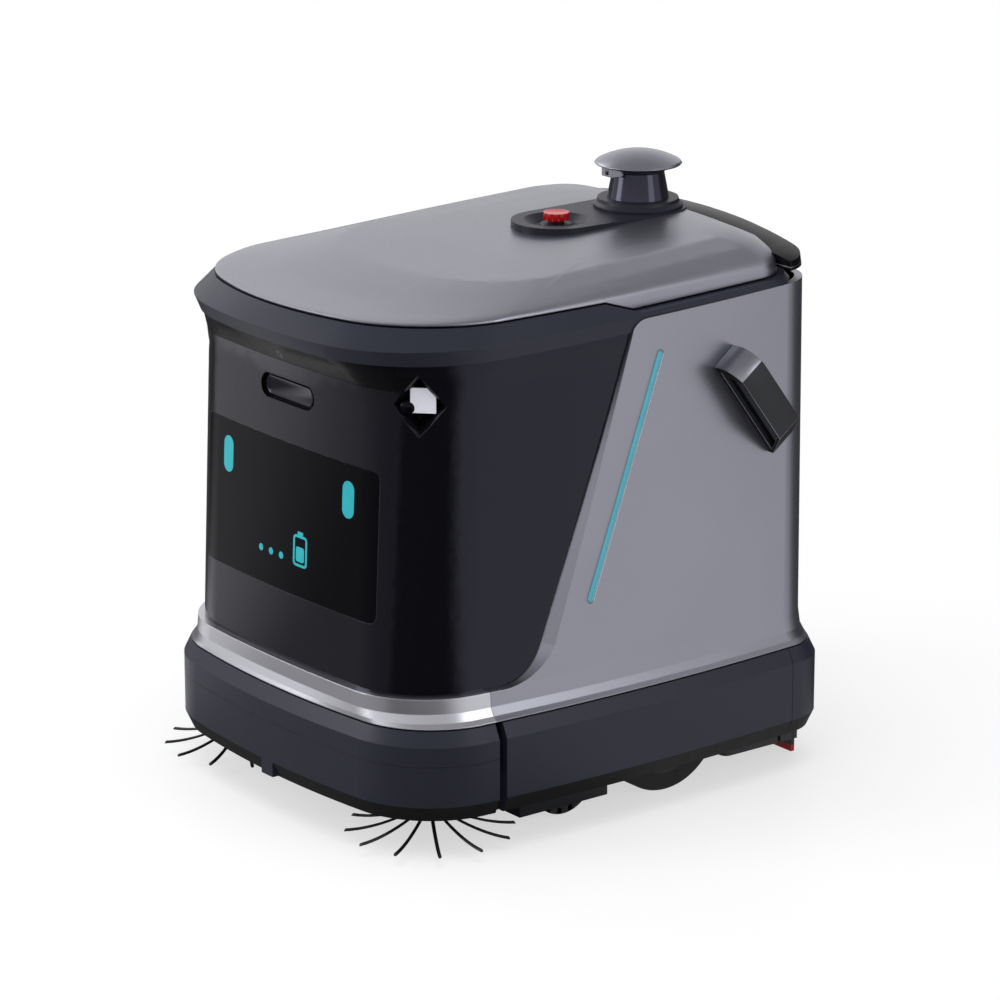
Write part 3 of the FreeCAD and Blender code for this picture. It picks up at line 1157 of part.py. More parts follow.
SQUEEGEE_WIDE = ("-squeegee_half_width", "squeegee_half_width")
tray = rounded_body("squeegee_tray", rectangle(SQUEEGEE_WIDE, ("squeegee_front", "squeegee_rear")),
                    "squeegee_low", "squeegee_high", "9")
tray_hollow = box("tray_hollow", ("-squeegee_half_width + 8", "squeegee_half_width - 8"),
                  ("squeegee_front + 8", "squeegee_rear - 8"), ("0", "squeegee_high - 5"))
blade_holder = box("blade_holder", SQUEEGEE_WIDE,
                   ("squeegee_rear - 1", "blade_y + blade_thick / 2 + 4"), ("squeegee_low", "squeegee_high"))
lift_posts = at_both("lift_post", lambda name, sign: cylinder(
    name, "guide_radius", "z", ("squeegee_high - 2", "plate_high + 50"), sign + "post_x", "post_y"))
lift_stops = at_both("lift_stop", lambda name, sign: cylinder(
    name, "guide_radius + 5", "z", ("plate_high + 0.3", "plate_high + 8"), sign + "post_x", "post_y"))
blade_rear = box("blade_rear", SQUEEGEE_WIDE, ("blade_y - blade_thick / 2", "blade_y + blade_thick / 2"),
                 ("blade_foot", "squeegee_high - 6"))
squeegee_blank = fuse("squeegee_blank", cut("tray_shell", tray, tray_hollow), blade_holder,
                      *lift_posts, *lift_stops)
piece("squeegee_frame", cut("squeegee_frame", squeegee_blank, blade_rear))
blade_front = box("blade_front", ("-squeegee_half_width + 60", "squeegee_half_width - 60"),
                  ("squeegee_front - blade_thick", "squeegee_front"), ("blade_foot + 1", "squeegee_high - 4"))
piece("squeegee_blades", together("squeegee_blades", blade_rear, blade_front))


# Casters

wheel_spot = "-caster_y + caster_trail"
stem = revolve("caster_post", profile("stem_cut", FRONT_VIEW, [
    ("0", "plate_low - 12"), ("17", "plate_low - 12"), ("17", "plate_low - 0.5"),
    ("caster_stem", "plate_low - 0.5"), ("caster_stem", "plate_high + 0.4"), ("10", "plate_high + 0.4"),
    ("10", "plate_high + 6"), ("0", "plate_high + 6")],
    x="caster_x", y="-caster_y"), UP, x="caster_x", y="-caster_y")
cheeks = [box("cheek_" + end, ("caster_x + " + low, "caster_x + " + high),
              ("-caster_y - 8", wheel_spot + " + 7"), ("caster_radius - 7", "plate_low - 8"))
          for end, low, high in (("outer", "11", "14"), ("inner", "-14", "-11"))]
caster_axle = cylinder("caster_axle", "4", "x", ("caster_x - 14", "caster_x + 14"),
                       wheel_spot, "caster_radius")
fork = fuse("left_caster_fork", stem, *cheeks, caster_axle)
piece("left_caster_fork", fork)
piece("right_caster_fork", mirrored("right_caster_fork", fork))
roll = revolve("left_caster_wheel", profile("roll_cut", FRONT_VIEW, [
    ("-10", "4 + running_gap"), ("10", "4 + running_gap"),
    ("10", "caster_radius - 3"), ("7", "caster_radius"), ("-7", "caster_radius"),
    ("-10", "caster_radius - 3")],
    x="caster_x", y=wheel_spot, z="caster_radius"), V(1, 0, 0), y=wheel_spot, z="caster_radius")
piece("left_caster_wheel", roll)
piece("right_caster_wheel", mirrored("right_caster_wheel", roll))


# Bumper guides

guide_blocks = at_both("guide_block", lambda name, sign: side_box(
    name, sign, ("bumper_pin_x - 13", "bumper_pin_x + 13"), ("-358", "-334"),
    ("plate_high", "bumper_pin_z + 13")))
guide_bores = at_both("guide_bore", lambda name, sign: cylinder(
    name, "bumper_pin_radius + running_gap", "y", ("-358", "-334"), sign + "bumper_pin_x", "bumper_pin_z"))
piece("bumper_guides", together("bumper_guides", *[
    cut("bumper_" + block.Name, block, bore) for block, bore in zip(guide_blocks, guide_bores)]))


# Check every object, then write one file for each sub-part

doc.recompute()
faulty = [item.Name for item in doc.Objects if "Invalid" in item.State or "Error" in item.State]
empty = [item.Label for item in pieces
         if item.Shape.isNull() or not item.Shape.Solids or not item.Shape.isValid()]
if faulty or empty:
    raise RuntimeError("faulty: %s, empty or invalid: %s" % (faulty, empty))
os.makedirs("parts", exist_ok=True)
for item in pieces:
    item.Shape.exportStep(os.path.join("parts", item.Label + ".step"))
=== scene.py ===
import json
import math

import bpy
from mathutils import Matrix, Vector


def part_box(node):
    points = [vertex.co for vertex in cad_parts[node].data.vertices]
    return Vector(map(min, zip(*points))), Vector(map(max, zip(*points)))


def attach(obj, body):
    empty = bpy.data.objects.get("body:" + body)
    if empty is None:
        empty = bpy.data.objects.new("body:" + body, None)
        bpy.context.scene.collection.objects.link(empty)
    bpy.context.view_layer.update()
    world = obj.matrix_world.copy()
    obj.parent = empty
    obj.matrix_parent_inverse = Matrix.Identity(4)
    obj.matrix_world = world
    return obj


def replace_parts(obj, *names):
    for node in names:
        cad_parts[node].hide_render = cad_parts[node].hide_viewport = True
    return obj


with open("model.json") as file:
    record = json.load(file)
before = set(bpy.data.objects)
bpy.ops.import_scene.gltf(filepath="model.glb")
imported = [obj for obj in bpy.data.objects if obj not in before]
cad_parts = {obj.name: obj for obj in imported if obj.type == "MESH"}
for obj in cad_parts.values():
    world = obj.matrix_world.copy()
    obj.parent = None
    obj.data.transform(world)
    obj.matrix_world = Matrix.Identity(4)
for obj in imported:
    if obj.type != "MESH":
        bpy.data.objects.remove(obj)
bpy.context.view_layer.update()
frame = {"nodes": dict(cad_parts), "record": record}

bl_info = {
    "name": "Cleaning Robot Finisher",
    "version": (1, 0, 0),
    "blender": (4, 5, 0),
    "location": "View3D > Sidebar > Robot",
    "description": "Finishes a floor cleaning robot and models its small pieces around the solids",
    "category": "Object",
}

MM = 0.001
METRE = 1000  # in millimetres
X, Z = 0, 2
QUARTER = math.radians(90)
# A shorter length than this counts as none.
HAIR = 0.01 * MM
# A face points along an axis if its normal's share there is over the first, and across it if under the second.
ALONG = 0.9
ACROSS = 0.1
NODES = frame["nodes"]


# Colours and nodes

def linear(code):
    """Linear RGBA of an sRGB hex colour."""
    shares = [int(code[place:place + 2], 16) / 255 for place in (1, 3, 5)]
    return [s / 12.92 if s <= 0.04045 else ((s + 0.055) / 1.055) ** 2.4 for s in shares] + [1.0]


WHITE = linear("#ffffff")


def add(tree, kind, inputs=None, **settings):
    """Adds one shader node with its settings. An input takes a value, another node or one of its outputs."""
    node = tree.nodes.new("ShaderNode" + kind)
    for name, value in settings.items():
        setattr(node, name, value)
    for name, value in (inputs or {}).items():
        if isinstance(value, bpy.types.Node):
            value = value.outputs[0]
        if isinstance(value, bpy.types.NodeSocket):
            tree.links.new(value, node.inputs[name])
        else:
            node.inputs[name].default_value = value
    return node


def per_mm(size):
    """Texture scale at which one feature measures about size millimetres."""
    return 1 / (size * MM)


def open_material(name):
    """A material with an empty tree and its object coordinates."""
    material = bpy.data.materials.new(name)
    material.use_nodes = True
    tree = material.node_tree
    tree.nodes.clear()
    return material, tree, add(tree, "TexCoord").outputs["Object"]


def close_material(material, shader):
    """Joins the shader to the material's output."""
    add(material.node_tree, "OutputMaterial", {"Surface": shader})
    return material


def tinted(name):
    """The finish's colour from the panel's settings, in linear light."""
    return list(getattr(bpy.context.scene.robot_colours, name))


def shade(colour, share):
    """A darker or lighter linear colour."""
    return [min(1, channel * share) for channel in colour[:3]] + [1.0]


# Modelling

def set_mode(mode):
    """Opens or leaves the active piece's edit mode."""
    bpy.ops.object.mode_set(mode=mode)


def clear_selection():
    """Leaves edit mode with nothing selected."""
    if bpy.context.mode != "OBJECT":
        set_mode("OBJECT")
    bpy.ops.object.select_all(action="DESELECT")


def begin(kind, **settings):
    """Adds a primitive with nothing else selected."""
    clear_selection()
    getattr(bpy.ops.mesh, "primitive_%s_add" % kind)(**settings)
    return bpy.context.object


def activate(piece):
    """Selects one piece alone, in object mode."""
    clear_selection()
    piece.select_set(True)
    bpy.context.view_layer.objects.active = piece


def edit_all(piece):
    """Opens a piece in edit mode with all of it selected."""
    activate(piece)
    set_mode("EDIT")
    bpy.ops.mesh.select_all(action="SELECT")


def clear_choice(piece, kind):
    """Deselects a piece's faces and points and sets which of them are chosen next, in object mode."""
    edit_all(piece)
    bpy.ops.mesh.select_mode(type=kind)
    bpy.ops.mesh.select_all(action="DESELECT")
    set_mode("OBJECT")


def choose(piece, wanted):
    """Opens a piece in edit mode with the faces selected that pass a test of centre and normal."""
    clear_choice(piece, "FACE")
    for face in piece.data.polygons:
        face.select = wanted(face.center, face.normal)
    set_mode("EDIT")


def pull_half(piece, axis, length, middle=0.0):
    """Moves the points above a piece's middle along an axis, or those below it by a negative length."""
    sign = 1 if length >= 0 else -1
    clear_choice(piece, "VERT")
    for point in piece.data.vertices:
        point.select = (point.co[axis] - middle) * sign > HAIR
    set_mode("EDIT")
    move = Vector()
    move[axis] = length
    bpy.ops.transform.translate(value=move)


def one_in(count, sides, across, up):
    """Whether a side of a round piece, by where it faces, is one in so many round the piece."""
    return math.floor((math.atan2(across, up) + math.tau) / math.tau * sides) % count == 0


def modify(piece, kind, **settings):
    """Adds a modifier with its settings and applies it."""
    activate(piece)
    modifier = piece.modifiers.new(kind.lower(), kind)
    for name, value in settings.items():
        setattr(modifier, name, value)
    bpy.ops.object.modifier_apply(modifier=modifier.name)


def round_edges(piece, width, segments=3, angle=40, **more):
    """Rounds the edges that turn by more than an angle in degrees."""
    modify(piece, "BEVEL", width=width, segments=segments, limit_method="ANGLE",
           angle_limit=math.radians(angle), **more)


def settle(piece):
    """Moves a piece's place into its mesh."""
    activate(piece)
    bpy.ops.object.transform_apply(location=True, rotation=True, scale=True)


def joined(pieces):
    """Makes several pieces one."""
    activate(pieces[0])
    for piece in pieces:
        piece.select_set(True)
    bpy.ops.object.join()
    return pieces[0]


def copy_of(piece):
    """A copy with its own mesh."""
    twin = bpy.data.objects.new(piece.name, piece.data.copy())
    bpy.context.scene.collection.objects.link(twin)
    return twin


def both_sides(piece):
    """A piece joined with its twin on the robot's other side."""
    twin = copy_of(piece)
    edit_all(twin)
    bpy.ops.transform.resize(value=(-1, 1, 1), center_override=(0, 0, 0))
    bpy.ops.mesh.normals_make_consistent(inside=False)
    return joined([piece, twin])


def skin_of(node):
    """A copy of a solid with its doubles merged and its own shading cleared."""
    piece = copy_of(NODES[node])
    edit_all(piece)
    bpy.ops.mesh.customdata_custom_splitnormals_clear()
    bpy.ops.mesh.remove_doubles(threshold=HAIR)
    set_mode("OBJECT")
    return piece


def merge_flats(piece):
    """Makes each flat side of a piece one face."""
    edit_all(piece)
    bpy.ops.mesh.dissolve_limited(angle_limit=math.radians(1))
    set_mode("OBJECT")


def keep_faces(piece, wanted):
    """Deletes every face that fails a test of centre and normal."""
    choose(piece, lambda centre, normal: not wanted(centre, normal))
    bpy.ops.mesh.delete(type="FACE")
    set_mode("OBJECT")


def keep_between(piece, low, high):
    """Cuts away what lies below one height and above another."""
    for height, below in ((low, True), (high, False)):
        edit_all(piece)
        bpy.ops.mesh.bisect(plane_co=(0, 0, height), plane_no=(0, 0, 1), clear_inner=below, clear_outer=not below)


def lift_skin(piece, step, thickness):
    """Lifts a skin a step off its solid and gives it a thickness."""
    edit_all(piece)
    bpy.ops.transform.shrink_fatten(value=step)
    modify(piece, "SOLIDIFY", thickness=thickness, offset=-1)


def finish(piece, name, body, slot, paint=None, angle=40):
    """Names a piece, smooths it, and hands it to its body and finish."""
    settle(piece)
    bpy.ops.object.shade_smooth_by_angle(angle=math.radians(angle))
    piece.name = name
    piece.data.name = name
    if paint or not piece.data.materials:
        piece.data.materials.clear()
        piece.data.materials.append(PAINT[paint or slot])
    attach(piece, body)
    return piece


# Finishes

PAINT = {}
# Height of the squeegee blades' red edge
RED_EDGE = 9 * MM


def mottled(tree, where, size, detail, colour, low, high):
    """Noise with features of about size millimetres, and a colour that lightens with it."""
    noise = add(tree, "TexNoise", {"Vector": where, "Scale": per_mm(size), "Detail": detail})
    tone = add(tree, "Mix", {"Factor": noise, "A": shade(colour, low), "B": shade(colour, high)}, data_type="RGBA")
    return noise, tone.outputs["Result"]


def satin_painted_abs(name, colour, roughness=0.42, gloss_level=0.3):
    """Moulded ABS in a satin coat: a faint orange-peel grain breaks up its soft highlights."""
    material, tree, where = open_material(name)
    tone = mottled(tree, where, 90, 3, colour, 0.92, 1.08)[1]
    # The real peel is under a millimetre, so it is drawn three times as coarse to show.
    peel = add(tree, "TexNoise", {"Vector": where, "Scale": per_mm(2.4), "Detail": 2})
    gloss = add(tree, "MapRange", {"Value": peel, "To Min": roughness - 0.05, "To Max": roughness + 0.07})
    edge = add(tree, "Bevel", {"Radius": 1.2 * MM}, samples=4)
    bump = add(tree, "Bump", {"Height": peel, "Strength": 0.05, "Distance": 0.2 * MM, "Normal": edge})
    shader = add(tree, "BsdfPrincipled", {
        "Base Color": tone, "Roughness": gloss, "IOR": 1.5, "Specular IOR Level": gloss_level, "Normal": bump})
    return close_material(material, shader)


def metallic_paint(name, colour, roughness=0.32, flakes=0.05):
    """Silver metallic lacquer on ABS: blurred reflections, with fine aluminium flakes that glitter."""
    material, tree, where = open_material(name)
    tone = mottled(tree, where, 120, 2, colour, 0.96, 1.04)[1]
    # Flakes are about a tenth of a millimetre, so they are drawn at 1.2 mm to show.
    flake = add(tree, "TexVoronoi", {"Vector": where, "Scale": per_mm(1.2)})
    edge = add(tree, "Bevel", {"Radius": 1.5 * MM}, samples=4)
    bump = add(tree, "Bump", {"Height": flake.outputs["Color"], "Strength": flakes, "Distance": 0.1 * MM,
                              "Normal": edge})
    gloss = add(tree, "MapRange", {"Value": flake.outputs["Color"], "To Min": roughness - flakes * 0.6,
                                   "To Max": roughness + flakes * 0.8})
    shader = add(tree, "BsdfPrincipled", {"Base Color": tone, "Metallic": 0.94, "Roughness": gloss, "Normal": bump})
    return close_material(material, shader)


def gloss_polycarbonate(name, colour, roughness=0.09, index=1.45):
    """Polished polycarbonate: clear, faintly blue reflections with a very slow waviness from the mould."""
    material, tree, where = open_material(name)
    wave = add(tree, "TexNoise", {"Vector": where, "Scale": per_mm(60), "Detail": 1})
    haze, tone = mottled(tree, where, 7, 4, colour, 0.9, 1.1)
    gloss = add(tree, "MapRange", {"Value": haze, "To Min": roughness - 0.02, "To Max": roughness + 0.03})
    edge = add(tree, "Bevel", {"Radius": 1 * MM}, samples=4)
    bump = add(tree, "Bump", {"Height": wave, "Strength": 0.02, "Distance": 1 * MM, "Normal": edge})
    shader = add(tree, "BsdfPrincipled", {
        "Base Color": tone, "Roughness": gloss, "IOR": index, "Specular Tint": linear("#dedeff"), "Normal": bump})
    return close_material(material, shader)


def glowing_acrylic(name, colour, body, strength):
    """Acrylic lit from behind: even teal with slightly paler bands along it."""
    material, tree, where = open_material(name)
    tone = mottled(tree, where, 25, 1, colour, 0.85, 1.15)[1]
    shader = add(tree, "BsdfPrincipled", {
        "Base Color": shade(colour, body), "Roughness": 0.3, "IOR": 1.3, "Emission Color": tone,
        "Emission Strength": strength})
    return close_material(material, shader)


def moulded_rubber(name, colour, roughness=0.7):
    """Moulded rubber or nylon: dull, with dust in its grain."""
    material, tree, where = open_material(name)
    dust, tone = mottled(tree, where, 14, 5, colour, 0.75, 1.3)
    grain = add(tree, "TexNoise", {"Vector": where, "Scale": per_mm(1.6), "Detail": 2})
    bump = add(tree, "Bump", {"Height": grain, "Strength": 0.2, "Distance": 0.25 * MM})
    gloss = add(tree, "MapRange", {"Value": dust, "To Min": roughness - 0.1, "To Max": roughness + 0.1})
    shader = add(tree, "BsdfPrincipled", {
        "Base Color": tone, "Roughness": gloss, "IOR": 1.5, "Specular IOR Level": 0.3, "Normal": bump})
    return close_material(material, shader)


def tipped_blade(name, colour, edge, level):
    """Squeegee blade: black polyurethane with a red working edge below the given height."""
    material, tree, where = open_material(name)
    place = add(tree, "SeparateXYZ", {0: where})
    share = add(tree, "MapRange", {"Value": place.outputs["Z"], "From Min": level, "From Max": level + 1 * MM})
    worn = mottled(tree, where, 14, 5, edge, 0.8, 1.1)[1]
    tone = add(tree, "Mix", {"Factor": share, "A": worn, "B": colour}, data_type="RGBA")
    shader = add(tree, "BsdfPrincipled", {
        "Base Color": tone.outputs["Result"], "Roughness": 0.5, "IOR": 1.5, "Specular IOR Level": 0.3})
    return close_material(material, shader)


def rotomoulded_polyethylene(name, colour):
    """Rotomoulded polyethylene tank: milky, waxy, with light passing into the wall."""
    material, tree, where = open_material(name)
    tone = mottled(tree, where, 40, 4, colour, 0.9, 1.05)[1]
    grain = add(tree, "TexNoise", {"Vector": where, "Scale": per_mm(3), "Detail": 3})
    bump = add(tree, "Bump", {"Height": grain, "Strength": 0.12, "Distance": 0.3 * MM})
    shader = add(tree, "BsdfPrincipled", {
        "Base Color": tone, "Roughness": 0.5, "IOR": 1.51, "Subsurface Weight": 0.25, "Subsurface Scale": 4 * MM,
        "Normal": bump})
    return close_material(material, shader)


def worked_metal(name, colour, roughness=0.35, grain=(0.6, 40, 0.6)):
    """Bare metal: fine lines along its length spread the highlights one way."""
    material, tree, where = open_material(name)
    along = add(tree, "Mapping", {"Vector": where, "Scale": [per_mm(size) for size in grain]})
    # The mapping has set the lines' width and length, so the noise keeps a scale of one.
    lines, tone = mottled(tree, along, METRE, 3, colour, 0.85, 1.1)
    gloss = add(tree, "MapRange", {"Value": lines, "To Min": roughness - 0.08, "To Max": roughness + 0.1})
    bump = add(tree, "Bump", {"Height": lines, "Strength": 0.08, "Distance": 0.1 * MM})
    shader = add(tree, "BsdfPrincipled", {"Base Color": tone, "Metallic": 1.0, "Roughness": gloss, "Normal": bump})
    return close_material(material, shader)


# Each finish's maker, name and colour, and what else the maker takes, by material slot or small piece
FINISHES = {
    "slate_shell": (satin_painted_abs, "slate_painted_abs", "slate", 0.42, 0.25),
    "dark_plastic": (satin_painted_abs, "black_moulded_polypropylene", "black", 0.5),
    "graphite": (satin_painted_abs, "graphite_moulded_abs", "graphite", 0.38, 0.16),
    "silver_shell": (metallic_paint, "silver_metallic_lacquer", "silver"),
    "bright_trim": (metallic_paint, "satin_chromed_abs", "trim", 0.26, 0.0),
    "black_fascia": (gloss_polycarbonate, "gloss_black_polycarbonate", "fascia", 0.09, 1.4),
    "display_glass": (gloss_polycarbonate, "coated_display_glass", "glass", 0.06, 1.16),
    "camera_glass": (gloss_polycarbonate, "black_camera_acrylic", "glass", 0.06, 1.2),
    "tower_glass": (gloss_polycarbonate, "infrared_window_acrylic", "window", 0.12),
    "light_lens": (glowing_acrylic, "teal_light_guide", "guide", 0.5, 0.5),
    "screen_light": (glowing_acrylic, "teal_screen_pixels", "teal", 0.02, 1.0),
    "lamp_window": (satin_painted_abs, "opal_lamp_acrylic", "opal", 0.2),
    "rotor_plastic": (satin_painted_abs, "black_rotor_abs", "black", 0.35),
    "stop_red": (gloss_polycarbonate, "red_button_polycarbonate", "red", 0.2),
    "tank_plastic": (rotomoulded_polyethylene, "natural_polyethylene", "tank"),
    "cap_plastic": (satin_painted_abs, "blue_cap_polypropylene", "cap", 0.45),
    "painted_steel": (satin_painted_abs, "powder_coated_steel", "powder", 0.55),
    "frame_aluminium": (worked_metal, "extruded_aluminium", "aluminium", 0.38, (0.6, 0.6, 40)),
    "steel": (worked_metal, "zinc_plated_steel", "steel", 0.3),
    # This black also serves as painted shade on the front under the collar.
    "bar_black_and_collar_shade": (satin_painted_abs, "black_lacquered_abs", "fascia", 0.28, 0.08),
    # A chrome strip that paints the highlight along the rear bar's edge.
    "chrome": (worked_metal, "chromed_strip", "steel", 0.16),
    "contact_brass": (worked_metal, "brass", "brass", 0.25),
    "wheel_rubber": (moulded_rubber, "wheel_rubber", "rubber"),
    "caster_rubber": (moulded_rubber, "caster_polyurethane", "rubber", 0.55),
    "bristle": (moulded_rubber, "black_nylon_bristle", "rubber", 0.4),
    "roller_bristle": (moulded_rubber, "grey_nylon_bristle", "powder", 0.5),
}


def mix_finishes():
    """Makes every finish from the panel's colours."""
    for slot, (make, name, colour, *more) in FINISHES.items():
        PAINT[slot] = make(name, tinted(colour), *more)
    rubber = tinted("rubber")
    # A black darker than the rubber: painted shade on the downward chamfers, and a plain dull black on the lens
    # rings and in the pods' open side.
    PAINT["lip_rubber"] = moulded_rubber("dull_black_and_painted_shade", shade(rubber, 0.6), 0.8)
    PAINT["blade_red"] = tipped_blade("two_colour_polyurethane", rubber, tinted("red"), RED_EDGE)


# Settings

def colour_setting(label, use, code):
    """A colour of the panel's settings, from an sRGB hex colour."""
    return bpy.props.FloatVectorProperty(name=label, description=use, subtype="COLOR", size=4, default=linear(code))


def length_setting(label, use, size):
    """A length of the panel's settings, from millimetres."""
    return bpy.props.FloatProperty(name=label, description=use, unit="LENGTH", default=size * MM)


class RobotColours(bpy.types.PropertyGroup):
    """Colours of the robot's finishes."""
    slate: colour_setting("Slate", "Bumper, skirts and collar", "#20222e")
    silver: colour_setting("Silver", "Lid, side panels and sensor pods", "#8c8d97")
    # The light guides' bright rims are painted highlights.
    trim: colour_setting("Trim", "Band above the bumper and the light guides' rims", "#bbbbc2")
    black: colour_setting("Black", "Small black mouldings", "#1b1c20")
    graphite: colour_setting("Graphite", "Deck plate and tower ring", "#20202a")
    opal: colour_setting("Opal", "Corner cameras' lamps", "#d4d5de")
    fascia: colour_setting("Fascia", "Gloss front and rear bar", "#09090c")
    glass: colour_setting("Glass", "Display and camera windows", "#060607")
    window: colour_setting("Scanner window", "Scanner tower's window", "#26242f")
    teal: colour_setting("Teal", "Screen marks", "#2aaab4")
    guide: colour_setting("Guide", "Light guides", "#58a4b6")
    red: colour_setting("Red", "Stop button and squeegee blades", "#a8120f")
    tank: colour_setting("Tank", "Water tanks", "#d8dad6")
    cap: colour_setting("Cap", "Tank caps", "#2d5f8a")
    powder: colour_setting("Powder coat", "Painted steel and the roller's bristles", "#2a2b2e")
    aluminium: colour_setting("Aluminium", "Inner frame", "#b9bbbe")
    # The bar's chrome line takes this steel colour and is a painted highlight.
    steel: colour_setting("Steel", "Screws, hinges, forks and the bar's line", "#b4b3af")
    brass: colour_setting("Brass", "Charging contacts", "#c9a24a")
    rubber: colour_setting("Rubber", "Tyres, casters, lips, blades and brush tufts", "#141416")


class RobotSizes(bpy.types.PropertyGroup):
    """Sizes of the small pieces."""
    eye_width: length_setting("Eye width", "Width of a lit eye on the screen", 20)
    eye_height: length_setting("Eye height", "Height of a lit eye on the screen", 42)
    eye_spread: length_setting("Eye spread", "An eye's distance from the middle", 116)
    eye_level: length_setting("Eye level", "Height of the eyes' middles", 387)
    dot_level: length_setting("Dot level", "Height of the row of dots", 296)
    tuft_width: length_setting("Tuft width", "Thickness of a side brush's tuft", 4.2)
    tufts: bpy.props.IntProperty(name="Tufts", description="Tufts on a side brush", default=12)
    tread_blocks: bpy.props.IntProperty(name="Tread blocks", description="Blocks round a tyre", default=40)
    tread_depth: length_setting("Tread depth", "Depth of the tyres' tread", 2.5)
    # The dull black band above this level, under the collar, is painted shade.
    collar_shade_level: length_setting("Hollow level", "Lower edge of the dull hollow under the collar", 519)
    seam_level: length_setting("Seam level", "Height of the bumper's parting line", 108)


class StageSettings(bpy.types.PropertyGroup):
    """Where the camera stands and how large the floor is."""
    azimuth: bpy.props.FloatProperty(
        name="Azimuth", description="Camera's turn from the robot's front", unit="ROTATION",
        default=math.radians(52.68))
    elevation: bpy.props.FloatProperty(
        name="Elevation", description="Camera's height angle", unit="ROTATION", default=math.radians(16.48))
    distance: bpy.props.FloatProperty(
        name="Distance", description="Camera to its target", unit="LENGTH", default=4.888)
    target: bpy.props.FloatVectorProperty(
        name="Target", description="Point that the camera looks at", subtype="TRANSLATION",
        default=(0.0678, -0.1244, 0.3317))
    lens: bpy.props.FloatProperty(
        name="Lens", description="Focal length in millimetres", default=155.6)
    floor_size: bpy.props.FloatProperty(
        name="Floor", description="Side of the floor", unit="LENGTH", default=60.0)


# Stage

SMOOTH = {"interpolation_type": "SMOOTHSTEP"}


